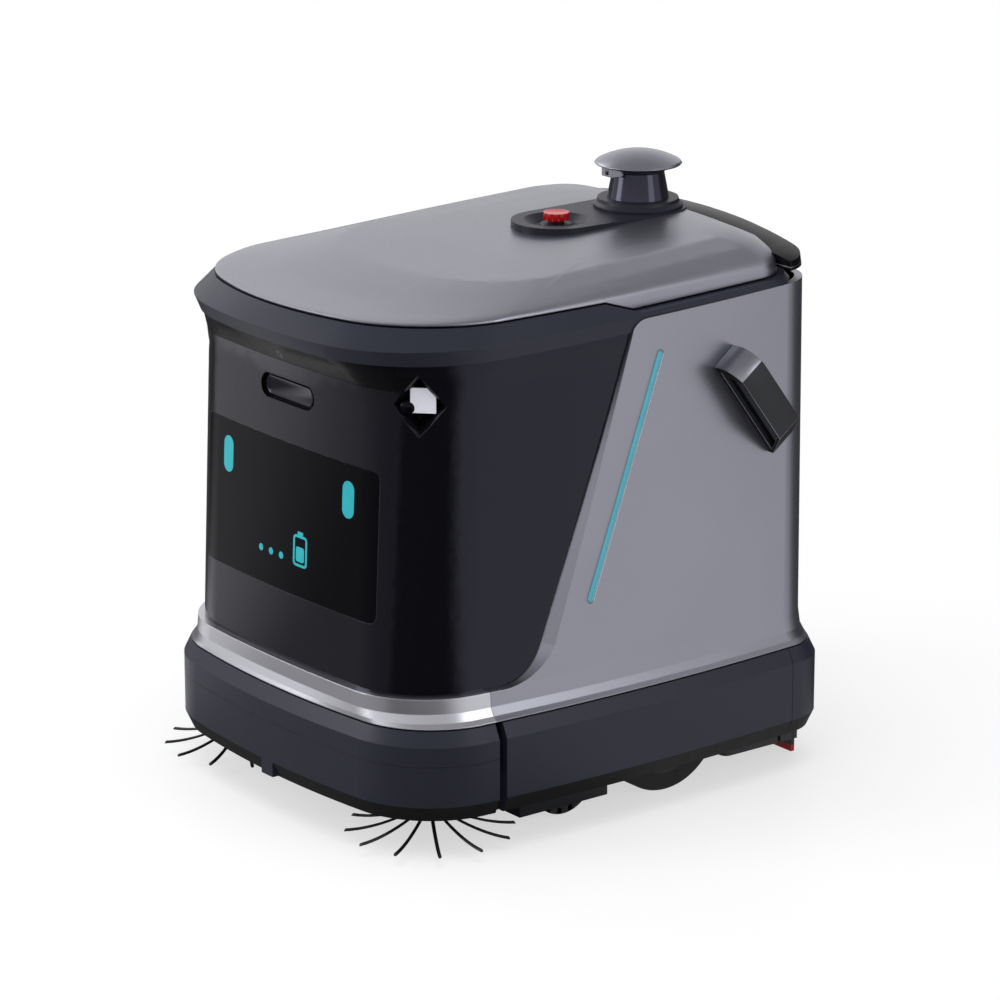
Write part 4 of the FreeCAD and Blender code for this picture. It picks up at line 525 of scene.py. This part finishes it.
class ROBOT_OT_stage(bpy.types.Operator):
    """Lays the floor, hangs the studio lights and sets the camera"""
    bl_idname = "robot.stage"
    bl_label = "Stage"

    SENSOR_WIDTH = 36
    VIEW_END = 200
    # Each softbox's name, place, width, height and watts
    SOFTBOXES = (
        ("overhead_softbox", (0.3, -0.6, 3.2), 2.6, 2.6, 60),
        ("front_softbox", (-1.6, -3.0, 1.6), 1.4, 2.0, 45),
        ("side_softbox", (3.2, 0.9, 1.7), 1.4, 2.0, 22),
        ("left_softbox", (-2.6, -0.3, 2.3), 1.8, 1.4, 18),
    )
    LIGHTS_AIM = Vector((0, -0.1, 0.4))
    # The floor's glow rises with the distance from the robot.
    PAPER_FADE = {"From Min": 0.3, "From Max": 1.3, "To Min": 0.6}
    # The curtains' edges are shares of a floor point's distance that run towards the robot's front left corner.
    TOWARDS_CORNER = (0.66, -0.75, 0)
    TOWARDS_LEFT = (0.75, 0.66, 0)
    NEAR_CURTAIN = {"From Min": 0.74, "From Max": 0.93}
    FAR_CURTAIN = {"From Min": -0.12, "From Max": -0.5}
    FRONT_CURTAIN = {"From Min": 0.0, "From Max": -0.2}
    FRONT_CURTAIN_TURN = {"From Min": -0.05, "From Max": 0.28, "To Max": 0.75}
    WORLD_STRENGTH = 0.5
    WALL_FALL = {"From Min": 0.35, "From Max": 0.85, "To Min": 1.0, "To Max": 0.42}
    DRAPE_SIDE = (0.05, 1.0, 0)
    DRAPE = {"From Min": 0.78, "From Max": 0.93, "To Min": 1.0, "To Max": 0.03}

    def execute(self, context):
        scene = context.scene
        self.set_camera(scene, scene.robot_stage)
        self.lay_floor(scene.robot_stage)
        self.hang_lights(scene)
        self.light_world(scene)
        scene.view_settings.view_transform = "Standard"
        return {"FINISHED"}

    def set_camera(self, scene, settings):
        lens = bpy.data.cameras.new("camera")
        lens.lens = settings.lens
        lens.sensor_width = self.SENSOR_WIDTH
        lens.clip_end = self.VIEW_END
        camera = bpy.data.objects.new("camera", lens)
        scene.collection.objects.link(camera)
        back = Vector((math.sin(settings.azimuth) * math.cos(settings.elevation),
                       -math.cos(settings.azimuth) * math.cos(settings.elevation),
                       math.sin(settings.elevation)))
        camera.location = Vector(settings.target) + back * settings.distance
        camera.rotation_euler = back.to_track_quat("Z", "Y").to_euler()
        scene.camera = camera

    def rays(self, tree):
        """Whether a ray comes from the camera or through glass, and whether it is a glossy one."""
        path = add(tree, "LightPath").outputs
        plain = add(tree, "Math", {0: path["Is Camera Ray"], 1: path["Is Transmission Ray"]}, operation="MAXIMUM")
        return plain, path["Is Glossy Ray"]

    def lay_floor(self, settings):
        floor = begin("plane", size=settings.floor_size)
        floor.name = "floor"
        material, tree, where = open_material("studio_paper")
        # The paper fades into plain white away from the robot, and keeps the shadow near it.
        reach = add(tree, "VectorMath", {0: where}, operation="LENGTH")
        fade = add(tree, "MapRange", {"Value": reach.outputs["Value"], **self.PAPER_FADE}, **SMOOTH)
        speck = add(tree, "TexNoise", {"Vector": where, "Scale": per_mm(300)})
        tone = add(tree, "Mix", {"Factor": speck, "A": linear("#f4f4f6"), "B": linear("#f7f7f9")}, data_type="RGBA")
        paper = add(tree, "BsdfPrincipled", {"Base Color": tone.outputs["Result"], "Roughness": 0.45, "IOR": 1.3})
        glow = add(tree, "Emission", {"Color": WHITE, "Strength": 1.0})
        plain, glossy = self.rays(tree)
        bright = add(tree, "Math", {0: plain, 1: glossy}, operation="MAXIMUM")
        share = add(tree, "Math", {0: fade, 1: bright}, operation="MULTIPLY")
        mixed = add(tree, "MixShader", {0: share, 1: paper, 2: glow})
        # Dark curtains lie before, behind and to the right of the robot, and show only in gloss.
        towards = add(tree, "VectorMath", {0: where, 1: self.TOWARDS_CORNER}, operation="DOT_PRODUCT")
        slant = add(tree, "Math", {0: towards.outputs["Value"], 1: reach.outputs["Value"]}, operation="DIVIDE")
        near = add(tree, "MapRange", {"Value": slant, **self.NEAR_CURTAIN}, **SMOOTH)
        far = add(tree, "MapRange", {"Value": slant, **self.FAR_CURTAIN}, **SMOOTH)
        beside = add(tree, "Math", {0: near, 1: far}, operation="MAXIMUM")
        left = add(tree, "VectorMath", {0: where, 1: self.TOWARDS_LEFT}, operation="DOT_PRODUCT")
        front = add(tree, "MapRange", {"Value": left.outputs["Value"], **self.FRONT_CURTAIN})
        turning = add(tree, "MapRange", {"Value": slant, **self.FRONT_CURTAIN_TURN}, **SMOOTH)
        before = add(tree, "Math", {0: front, 1: turning}, operation="MULTIPLY")
        dark = add(tree, "Math", {0: beside, 1: before}, operation="MAXIMUM")
        curtain = add(tree, "BsdfPrincipled", {"Base Color": linear("#28282b"), "Roughness": 0.7})
        hidden = add(tree, "Math", {0: dark, 1: glossy}, operation="MULTIPLY")
        ground = add(tree, "MixShader", {0: hidden, 1: mixed, 2: curtain})
        floor.data.materials.append(close_material(material, ground))

    def hang_lights(self, scene):
        for name, place, width, height, power in self.SOFTBOXES:
            lamp = bpy.data.lights.new(name, "AREA")
            lamp.shape = "RECTANGLE"
            lamp.size = width
            lamp.size_y = height
            lamp.energy = power
            light = bpy.data.objects.new(name, lamp)
            scene.collection.objects.link(light)
            light.location = place
            light.rotation_euler = (Vector(place) - self.LIGHTS_AIM).to_track_quat("Z", "Y").to_euler()
            # The lid doesn't mirror the lamp above it.
            light.visible_glossy = name != "overhead_softbox"

    def light_world(self, scene):
        world = bpy.data.worlds.new("studio")
        scene.world = world
        world.use_nodes = True
        tree = world.node_tree
        tree.nodes.clear()
        plain, glossy = self.rays(tree)
        soft = add(tree, "Background", {"Color": WHITE, "Strength": self.WORLD_STRENGTH})
        white = add(tree, "Background", {"Color": WHITE, "Strength": 1.0})
        # In gloss the white walls darken towards the studio's ceiling, and a drape hangs behind.
        where = add(tree, "TexCoord").outputs["Generated"]
        rise = add(tree, "SeparateXYZ", {0: where})
        fall = add(tree, "MapRange", {"Value": rise.outputs["Z"], **self.WALL_FALL})
        behind = add(tree, "VectorMath", {0: where, 1: self.DRAPE_SIDE}, operation="DOT_PRODUCT")
        drape = add(tree, "MapRange", {"Value": behind.outputs["Value"], **self.DRAPE}, **SMOOTH)
        wall = add(tree, "Math", {0: fall, 1: drape}, operation="MULTIPLY")
        walls = add(tree, "Background", {"Color": WHITE, "Strength": wall})
        gloss = add(tree, "MixShader", {0: glossy, 1: soft, 2: walls})
        mixed = add(tree, "MixShader", {0: plain, 1: gloss, 2: white})
        add(tree, "OutputWorld", {"Surface": mixed})


class ROBOT_OT_finish_solids(bpy.types.Operator):
    """Gives every solid of the robot the finish of its material slot"""
    bl_idname = "robot.finish_solids"
    bl_label = "Finish the solids"

    def execute(self, context):
        mix_finishes()
        for entry in frame["record"]["subparts"]:
            mesh = NODES[entry["node"]].data
            mesh.materials.clear()
            mesh.materials.append(PAINT[entry["material_slot"]])
        for node in ("deck_plate", "tower_ring"):
            NODES[node].data.materials[0] = PAINT["graphite"]
        return {"FINISHED"}


# Pieces

class ROBOT_OT_shells(bpy.types.Operator):
    """Smooths the mouldings whose surfaces run on without a crease"""
    bl_idname = "robot.shells"
    bl_label = "Smooth shells"

    def execute(self, context):
        for node, name, body, slot in (("front_fascia", "fascia_shell", "chassis", "black_fascia"),
                                       ("lid_panel", "lid_shell", "lid", "silver_shell")):
            shell = skin_of(node)
            if node == "front_fascia":
                # The front gets a dull band of painted shade under the collar.
                self.paint_collar_shade(shell, context.scene.robot_sizes.collar_shade_level)
            finish(shell, name, body, slot, angle=38)
            modify(shell, "WEIGHTED_NORMAL", mode="FACE_AREA", keep_sharp=True)
            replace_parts(shell, node)
        return {"FINISHED"}

    def paint_collar_shade(self, shell, level):
        """Paints shade under the collar: where the front leans in under it, above the given level, it turns a dull
        black with weak reflections.
        """
        shell.data.materials.append(PAINT["bar_black_and_collar_shade"])
        edit_all(shell)
        bpy.ops.mesh.bisect(plane_co=(0, 0, level), plane_no=(0, 0, 1))
        set_mode("OBJECT")
        for face in shell.data.polygons:
            leans_in = face.normal.z < -0.1 and face.normal.y < -0.4
            face.material_index = int(leans_in and face.center.z > level)


class ROBOT_OT_pods(bpy.types.Operator):
    """Gives the sensor pods a silver head and back and a black outer face"""
    bl_idname = "robot.pods"
    bl_label = "Sensor pods"

    FINISHES = ("silver_shell", "dark_plastic", "lip_rubber")
    SILVER, BLACK, DULL = range(3)
    # A pod's upper corner, the slope of its sides and the length of its head
    CORNER_Y, CORNER_Z = 41 * MM, 497.5 * MM
    SLOPE_Y, SLOPE_Z = 0.602, 0.799
    HEAD = 14 * MM

    def execute(self, context):
        pods = skin_of("sensor_pods")
        merge_flats(pods)
        pods.data.materials.clear()
        for paint in self.FINISHES:
            pods.data.materials.append(PAINT[paint])
        for face in pods.data.polygons:
            face.material_index = self.paint_of(face.center, face.normal)
        round_edges(pods, 0.8 * MM, 2, material=self.SILVER)
        finish(pods, "pod_shells", "chassis", "silver_shell")
        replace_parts(pods, "sensor_pods")
        return {"FINISHED"}

    def paint_of(self, centre, normal):
        """Silver on the head and back, black on the flat outer face, dull black in the open side."""
        down = (centre.y - self.CORNER_Y) * self.SLOPE_Y + (self.CORNER_Z - centre.z) * self.SLOPE_Z
        if down < self.HEAD or normal.y > 0.7:
            return self.SILVER
        return self.BLACK if abs(normal.x) > 0.6 and normal.x * centre.x > 0 else self.DULL


class ROBOT_OT_rear_bar(bpy.types.Operator):
    """Rounds the edges of the black bar behind the lid and lays a bright chrome line round it, a painted highlight
    along its edge
    """
    bl_idname = "robot.rear_bar"
    bl_label = "Rear bar"

    # The chrome line's lower and upper heights; the line paints the highlight along the bar's edge.
    LINE_LOW, LINE_HIGH = 591 * MM, 592.2 * MM

    def execute(self, context):
        bar = skin_of("rear_bar")
        merge_flats(bar)
        round_edges(bar, 1.6 * MM)
        finish(bar, "rear_bar_shell", "lid", "black_fascia", "bar_black_and_collar_shade")
        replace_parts(bar, "rear_bar")
        line = skin_of("rear_bar")
        keep_between(line, self.LINE_LOW, self.LINE_HIGH)
        lift_skin(line, 0.15 * MM, 0.4 * MM)
        finish(line, "rear_bar_highlight_line", "lid", "bright_trim", "chrome")
        return {"FINISHED"}


class ROBOT_OT_shade_strips(bpy.types.Operator):
    """Lines the bumper's and skirts' lower chamfers, which face down, with a black strip darker than the rubber as
    painted shade, and draws the parting line
    """
    bl_idname = "robot.lips"
    bl_label = "Rubber lips"

    HALF_SEAM = 0.4 * MM
    BUMPER_MIDDLE_Y = -200 * MM

    def execute(self, context):
        for node, body in (("bumper_shell", "bumper"), ("left_side_skirt", "chassis"),
                           ("right_side_skirt", "chassis"), ("rear_skirt", "chassis")):
            lip = skin_of(node)
            # The faces that slope down and out get the painted shade.
            keep_faces(lip, lambda centre, normal: -0.95 < normal.z < -0.15
                       and normal.x * centre.x + normal.y * centre.y > 0)
            lift_skin(lip, 0.2 * MM, 0.6 * MM)
            finish(lip, node.replace("shell", "lip").replace("skirt", "lip"), body, "dark_plastic", "lip_rubber")
        level = context.scene.robot_sizes.seam_level
        seam = skin_of("bumper_shell")
        keep_between(seam, level - self.HALF_SEAM, level + self.HALF_SEAM)
        keep_faces(seam, lambda centre, normal:
                   normal.x * centre.x + normal.y * (centre.y - self.BUMPER_MIDDLE_Y) > 0)
        lift_skin(seam, 0.1 * MM, 0.4 * MM)
        finish(seam, "bumper_parting_line", "bumper", "dark_plastic", "dark_plastic")
        return {"FINISHED"}


class ROBOT_OT_screen_marks(bpy.types.Operator):
    """Lights two plain eyes, a row of dots and a battery mark on the display"""
    bl_idname = "robot.screen_marks"
    bl_label = "Screen marks"

    AHEAD = 10 * MM
    FILM = 0.3 * MM
    DOT = 8 * MM
    DOTS = (-44 * MM, -24 * MM, -4 * MM)
    # The battery mark's place from the middle and above the dots
    BATTERY_X, BATTERY_RISE = 32 * MM, 13 * MM

    def execute(self, context):
        sizes = context.scene.robot_sizes
        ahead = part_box("display_screen")[0].y - self.AHEAD
        marks = [self.capsule(sign * sizes.eye_spread, ahead, sizes.eye_level, sizes.eye_width, sizes.eye_height)
                 for sign in (1, -1)]
        marks += [self.capsule(x, ahead, sizes.dot_level, self.DOT, self.DOT) for x in self.DOTS]
        marks += self.battery(self.BATTERY_X, ahead, sizes.dot_level + self.BATTERY_RISE)
        lit = joined(marks)
        modify(lit, "SHRINKWRAP", target=NODES["display_screen"], wrap_method="PROJECT", use_project_y=True,
               use_positive_direction=True, offset=self.FILM)
        modify(lit, "SOLIDIFY", thickness=self.FILM, offset=0)
        finish(lit, "screen_marks", "chassis", "light_lens", "screen_light")
        return {"FINISHED"}

    def battery(self, x, y, z):
        """A rounded frame with a block in it and a short pole on top."""
        outline = self.panel(x, y, z, 26 * MM, 36 * MM)
        edit_all(outline)
        bpy.ops.mesh.inset(thickness=3 * MM)
        bpy.ops.mesh.delete(type="FACE")
        block = self.panel(x, y, z - 4 * MM, 15 * MM, 17 * MM)
        pole = self.panel(x, y, z + 20 * MM, 10 * MM, 4 * MM)
        return [outline, block, pole]

    def panel(self, x, y, z, width, height):
        """A flat rectangle with rounded corners that faces the front."""
        piece = begin("plane", size=1, location=(x, y, z), rotation=(QUARTER, 0, 0))
        piece.scale = (width, height, 1)
        settle(piece)
        edit_all(piece)
        bpy.ops.mesh.bevel(offset=min(width, height) * 0.2, segments=4, affect="VERTICES")
        return piece

    def capsule(self, x, y, z, width, height):
        """A flat upright capsule that faces the front."""
        mark = begin("circle", vertices=32, radius=width / 2, fill_type="NGON", location=(x, y, z),
                     rotation=(QUARTER, 0, 0))
        settle(mark)
        for sign in (1, -1):
            pull_half(mark, Z, sign * (height - width) / 2, z)
        return mark


class ROBOT_OT_front_lenses(bpy.types.Operator):
    """Sets the depth camera's window and the lenses of the front sensor and the tower camera"""
    bl_idname = "robot.front_lenses"
    bl_label = "Front lenses"

    WINDOW = (0, -364 * MM, 484 * MM)
    WINDOW_RADIUS = 10.5 * MM
    WINDOW_PULL = 34 * MM
    # Each lens's name, body, place, radius and tilt
    LENSES = (
        ("front_sensor_lens", "chassis", (0, -376 * MM, 528 * MM), 5.4 * MM, math.radians(124)),
        ("tower_camera_lens", "lid", (0, 82.2 * MM, 671 * MM), 3.2 * MM, QUARTER),
    )

    def execute(self, context):
        window = begin("circle", vertices=32, radius=self.WINDOW_RADIUS, fill_type="NGON", location=self.WINDOW,
                       rotation=(QUARTER, 0, 0))
        settle(window)
        for sign in (1, -1):
            pull_half(window, X, sign * self.WINDOW_PULL)
        edit_all(window)
        bpy.ops.mesh.inset(thickness=1.2 * MM)
        bpy.ops.transform.translate(value=(0, 0.7 * MM, 0))
        modify(window, "SOLIDIFY", thickness=1.2 * MM, offset=-1)
        finish(window, "depth_camera_window", "chassis", "black_fascia")
        for lens in self.LENSES:
            self.lens(*lens)
        return {"FINISHED"}

    def lens(self, name, body, place, radius, tilt):
        """A dull black ring, stepped in, with a tapered lens in its middle."""
        ring = begin("cylinder", vertices=32, radius=radius, depth=1.2 * MM, location=place, rotation=(tilt, 0, 0))
        axis = Vector((0, -math.sin(tilt), math.cos(tilt)))
        settle(ring)
        choose(ring, lambda centre, normal: normal.dot(axis) > ALONG)
        bpy.ops.mesh.inset(thickness=radius * 0.22)
        bpy.ops.transform.translate(value=axis * (-0.6 * MM))
        bpy.ops.mesh.inset(thickness=radius * 0.2)
        bpy.ops.mesh.extrude_region_move(TRANSFORM_OT_translate={"value": axis * (0.9 * MM)})
        bpy.ops.transform.resize(value=(0.5, 0.5, 0.5))
        finish(ring, name, body, "camera_glass", "lip_rubber")


class ROBOT_OT_corner_cameras(bpy.types.Operator):
    """Sets a dome lens and an opal lamp in each corner camera's hollow"""
    bl_idname = "robot.corner_cameras"
    bl_label = "Corner cameras"

    # The mouth of the left hollow, and the ways out of it and along the corner
    MOUTH = Vector((203, -337, 504)) * MM
    OUT = Vector((math.sqrt(0.5), -math.sqrt(0.5), 0))
    SIDEWAYS = Vector((math.sqrt(0.5), math.sqrt(0.5), 0))
    DOME_RADIUS = 13 * MM
    LAMP_SIZE = (28 * MM, 28 * MM, 2 * MM)

    def execute(self, context):
        turn = self.OUT.to_track_quat("Z", "Y").to_euler()
        dome = begin("uv_sphere", segments=32, ring_count=16, radius=self.DOME_RADIUS, rotation=turn,
                     location=self.from_mouth(-13, -19, -3))
        lamp = begin("cube", size=1, scale=self.LAMP_SIZE, rotation=turn, location=self.from_mouth(4, -9, 6))
        settle(dome)
        settle(lamp)
        choose(lamp, lambda centre, normal: normal.dot(self.OUT) > ALONG)
        bpy.ops.mesh.inset(thickness=1.2 * MM)
        bpy.ops.transform.translate(value=self.OUT * (-0.5 * MM))
        for kind, piece, paint in (("dome", dome, "camera_glass"), ("lamp", lamp, "lamp_window")):
            finish(both_sides(piece), "corner_camera_" + kind, "chassis", "camera_glass", paint)
        return {"FINISHED"}

    def from_mouth(self, sideways, out, up):
        """A place by its millimetres from the hollow's mouth."""
        return self.MOUTH + self.SIDEWAYS * sideways * MM + self.OUT * out * MM + Vector((0, 0, up * MM))


class ROBOT_OT_stop_button(bpy.types.Operator):
    """Turns the emergency stop's head with its dished top and finger grooves"""
    bl_idname = "robot.stop_button"
    bl_label = "Stop button"

    SIDES = 48
    SIDES_PER_GROOVE = 4

    def execute(self, context):
        low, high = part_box("stop_head")
        middle = (low + high) / 2
        head = begin("cylinder", vertices=self.SIDES, radius=(high.x - low.x) / 2, depth=high.z - low.z,
                     location=middle)
        settle(head)
        choose(head, lambda centre, normal: normal.z > ALONG)
        bpy.ops.mesh.inset(thickness=3.4 * MM)
        bpy.ops.transform.translate(value=(0, 0, -0.8 * MM))
        choose(head, lambda centre, normal: abs(normal.z) < ACROSS
               and one_in(self.SIDES_PER_GROOVE, self.SIDES, normal.y, normal.x))
        bpy.ops.mesh.inset(thickness=0.5 * MM, use_individual=True)
        bpy.ops.transform.shrink_fatten(value=-0.5 * MM)
        round_edges(head, 0.9 * MM, angle=50)
        finish(head, "stop_button", "stop_head", "stop_red")
        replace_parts(head, "stop_head")
        return {"FINISHED"}


class ROBOT_OT_light_guides(bpy.types.Operator):
    """Lays a rounded light guide in each side panel, and a bright rim round it that paints the highlight on the
    groove's edge
    """
    bl_idname = "robot.light_guides"
    bl_label = "Light guides"

    # The ends' middles in millimetres, before each is moved out to the strip's face
    TOP = (0, -38.5, 525)
    FOOT = (0, -134.7, 262)
    END_REACH = 8 * MM
    GUIDE_RADIUS, GUIDE_SINK = 4.4 * MM, 2.2 * MM
    RIM_RADIUS, RIM_WIDTH, RIM_DEPTH, RIM_RISE = 5.6 * MM, 0.9 * MM, 1.2 * MM, 0.1 * MM

    def execute(self, context):
        top = Vector(self.TOP) * MM
        foot = Vector(self.FOOT) * MM
        for end in (top, foot):
            end.x = max(point.co.x for point in NODES["light_strips"].data.vertices
                        if abs(point.co.z - end.z) < self.END_REACH)
        run = top - foot
        turn = run.to_track_quat("Z", "X").to_euler()
        guide = begin("uv_sphere", segments=16, ring_count=12, radius=self.GUIDE_RADIUS)
        pull_half(guide, Z, run.length)
        self.place(guide, foot - Vector((self.GUIDE_SINK, 0, 0)), turn)
        # The rim is a bright trim where the groove's edge catches the light: a painted highlight.
        rim = begin("circle", vertices=24, radius=self.RIM_RADIUS, fill_type="NGON", rotation=(0, QUARTER, 0))
        settle(rim)
        pull_half(rim, Z, run.length)
        edit_all(rim)
        bpy.ops.mesh.inset(thickness=self.RIM_WIDTH)
        bpy.ops.mesh.delete(type="FACE")
        modify(rim, "SOLIDIFY", thickness=self.RIM_DEPTH, offset=0)
        self.place(rim, foot + Vector((self.RIM_RISE, 0, 0)), turn)
        guides = finish(both_sides(guide), "light_guides", "chassis", "light_lens")
        finish(both_sides(rim), "light_guide_highlight_rims", "chassis", "bright_trim")
        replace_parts(guides, "light_strips")
        return {"FINISHED"}

    def place(self, piece, foot, turn):
        activate(piece)
        piece.location = foot
        piece.rotation_euler = turn
        settle(piece)


class ROBOT_OT_side_brushes(bpy.types.Operator):
    """Draws the bowed tufts of the side brushes"""
    bl_idname = "robot.side_brushes"
    bl_label = "Side brushes"

    ROOT = 22 * MM
    LEAN = math.radians(60)
    BENDS = 9
    BOW = 0.9

    def execute(self, context):
        sizes = context.scene.robot_sizes
        for side in ("left", "right"):
            low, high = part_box(side + "_brush_bristles")
            hub = (low + high) / 2
            reach = (high.x - low.x) / 2
            tufts = [self.tuft(hub, reach, high.z, low.z, sizes.tuft_width / 2)]
            for turn in range(1, sizes.tufts):
                copy = copy_of(tufts[0])
                edit_all(copy)
                bpy.ops.transform.rotate(value=turn * math.tau / sizes.tufts, orient_axis="Z",
                                         center_override=(hub.x, hub.y, 0))
                tufts.append(copy)
            brush = finish(joined(tufts), side + "_brush_tufts", side + "_side_brush", "bristle")
            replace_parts(brush, side + "_brush_bristles")
        return {"FINISHED"}

    def tuft(self, hub, reach, high, low, radius):
        """One tuft: it leaves the hub downwards, sweeps out and ends flat above the floor."""
        length = reach - self.ROOT
        fall = high - low - radius
        piece = begin("circle", vertices=8, radius=radius, fill_type="NGON", rotation=(0, self.LEAN, 0),
                      location=(hub.x + self.ROOT, hub.y, high - radius * 0.2))
        settle(piece)
        edit_all(piece)
        last = (0, 0)
        for bend in range(1, self.BENDS + 1):
            share = bend / self.BENDS
            place = (length * share, -fall * math.sin(share * math.pi / 2) ** self.BOW)
            move = (place[0] - last[0], 0, place[1] - last[1])
            bpy.ops.mesh.extrude_region_move(TRANSFORM_OT_translate={"value": move})
            last = place
        edit_all(piece)
        bpy.ops.mesh.normals_make_consistent(inside=False)
        return piece


class ROBOT_OT_tyres(bpy.types.Operator):
    """Cuts the tread blocks of the drive wheels' tyres"""
    bl_idname = "robot.tyres"
    bl_label = "Tyres"

    def execute(self, context):
        sizes = context.scene.robot_sizes
        sides = sizes.tread_blocks * 2
        for side in ("left", "right"):
            low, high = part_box(side + "_wheel_tyre")
            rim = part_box(side + "_wheel_rim")[1].z
            middle = (low + high) / 2
            radius = (high.z - low.z) / 2
            tyre = begin("cylinder", vertices=sides, radius=radius, depth=high.x - low.x, location=middle,
                         rotation=(0, QUARTER, 0))
            settle(tyre)
            choose(tyre, lambda centre, normal: abs(normal.x) > ALONG)
            bpy.ops.mesh.inset(thickness=high.z - rim, use_individual=True)
            bpy.ops.mesh.bridge_edge_loops()
            choose(tyre, lambda centre, normal: abs(normal.x) < ACROSS and (centre - middle).length > radius * 0.9
                   and one_in(2, sides, normal.y, normal.z))
            bpy.ops.mesh.inset(thickness=0.5 * MM, use_individual=True)
            bpy.ops.transform.shrink_fatten(value=-sizes.tread_depth)
            finish(tyre, side + "_tyre_tread", side + "_drive_wheel", "wheel_rubber")
            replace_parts(tyre, side + "_wheel_tyre")
        return {"FINISHED"}


class ROBOT_OT_roller(bpy.types.Operator):
    """Winds the bristle rows round the scrub roller"""
    bl_idname = "robot.roller"
    bl_label = "Scrub roller"

    SIDES = 48
    SIDES_PER_ROW = 3
    # Cuts on each half of the roller and between the halves, so that the rows can twist
    HALF_CUTS, CUT_STEP = 8, 24 * MM
    GAP_DEPTH = 7 * MM
    TWIST = math.radians(80)

    def execute(self, context):
        low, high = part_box("main_roller")
        roller = begin("cylinder", vertices=self.SIDES, radius=(high.z - low.z) / 2, depth=high.x - low.x,
                       rotation=(0, QUARTER, 0))
        settle(roller)
        for step in range(-self.HALF_CUTS, self.HALF_CUTS + 1):
            edit_all(roller)
            bpy.ops.mesh.bisect(plane_co=(step * self.CUT_STEP, 0, 0), plane_no=(1, 0, 0))
        choose(roller, lambda centre, normal: abs(normal.x) < ACROSS
               and one_in(self.SIDES_PER_ROW, self.SIDES, normal.y, normal.z))
        bpy.ops.mesh.extrude_region_shrink_fatten(TRANSFORM_OT_shrink_fatten={"value": -self.GAP_DEPTH})
        modify(roller, "SIMPLE_DEFORM", deform_method="TWIST", deform_axis="X", angle=self.TWIST)
        roller.location = (low + high) / 2
        finish(roller, "roller_bristles", "roller", "roller_bristle", angle=30)
        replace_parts(roller, "main_roller")
        return {"FINISHED"}


class ROBOT_OT_tank_caps(bpy.types.Operator):
    """Screws a cap with a ribbed side and a handle bar on each tank"""
    bl_idname = "robot.tank_caps"
    bl_label = "Tank caps"

    SIDES = 72
    SIDES_PER_RIB = 3
    WALL, DISH = 4 * MM, 5 * MM
    BAR_WIDTH, BAR_HEIGHT, BAR_DROP = 9 * MM, 6 * MM, 3.5 * MM

    def execute(self, context):
        low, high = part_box("tank_caps")
        radius = high.x
        caps = [self.cap(Vector((0, y, 0)), radius, low.z, high.z) for y in (low.y + radius, high.y - radius)]
        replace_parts(finish(joined(caps), "tank_cap_grips", "chassis", "cap_plastic"), "tank_caps")
        return {"FINISHED"}

    def cap(self, middle, radius, low, high):
        """A round cap, ribbed at the side, with a bar across its dished top."""
        cap = begin("cylinder", vertices=self.SIDES, radius=radius, depth=high - low,
                    location=middle + Vector((0, 0, (low + high) / 2)))
        settle(cap)
        choose(cap, lambda centre, normal: normal.z > ALONG)
        bpy.ops.mesh.inset(thickness=self.WALL)
        bpy.ops.mesh.extrude_region_move(TRANSFORM_OT_translate={"value": (0, 0, -self.DISH)})
        choose(cap, lambda centre, normal: abs(normal.z) < ACROSS and (centre - middle).xy.length > 0.95 * radius
               and one_in(self.SIDES_PER_RIB, self.SIDES, normal.y, normal.x))
        bpy.ops.mesh.inset(thickness=0.4 * MM, use_individual=True)
        bpy.ops.transform.shrink_fatten(value=-1.2 * MM)
        bar = begin("cube", size=1, scale=(2 * (radius - self.WALL), self.BAR_WIDTH, self.BAR_HEIGHT),
                    location=middle + Vector((0, 0, high - self.BAR_DROP)))
        settle(bar)
        round_edges(bar, 1.5 * MM)
        return joined([cap, bar])


class ROBOT_PT_panel(bpy.types.Panel):
    """Lists the steps that finish the robot"""
    bl_idname = "ROBOT_PT_panel"
    bl_label = "Cleaning Robot"
    bl_space_type = "VIEW_3D"
    bl_region_type = "UI"
    bl_category = "Robot"

    def draw(self, context):
        for step in STEPS:
            self.layout.operator(step.bl_idname)


STEPS = (ROBOT_OT_stage, ROBOT_OT_finish_solids, ROBOT_OT_shells, ROBOT_OT_pods, ROBOT_OT_rear_bar, ROBOT_OT_shade_strips,
         ROBOT_OT_screen_marks, ROBOT_OT_front_lenses, ROBOT_OT_corner_cameras, ROBOT_OT_light_guides,
         ROBOT_OT_stop_button, ROBOT_OT_side_brushes, ROBOT_OT_tyres, ROBOT_OT_roller, ROBOT_OT_tank_caps)
CLASSES = (RobotColours, RobotSizes, StageSettings, ROBOT_PT_panel) + STEPS


def register():
    for kind in CLASSES:
        bpy.utils.register_class(kind)
    bpy.types.Scene.robot_colours = bpy.props.PointerProperty(type=RobotColours)
    bpy.types.Scene.robot_sizes = bpy.props.PointerProperty(type=RobotSizes)
    bpy.types.Scene.robot_stage = bpy.props.PointerProperty(type=StageSettings)


def unregister():
    del bpy.types.Scene.robot_stage
    del bpy.types.Scene.robot_sizes
    del bpy.types.Scene.robot_colours
    for kind in reversed(CLASSES):
        bpy.utils.unregister_class(kind)


def main():
    register()
    for step in STEPS:
        group, name = step.bl_idname.split(".")
        getattr(getattr(bpy.ops, group), name)()


if __name__ == "__main__":
    main()
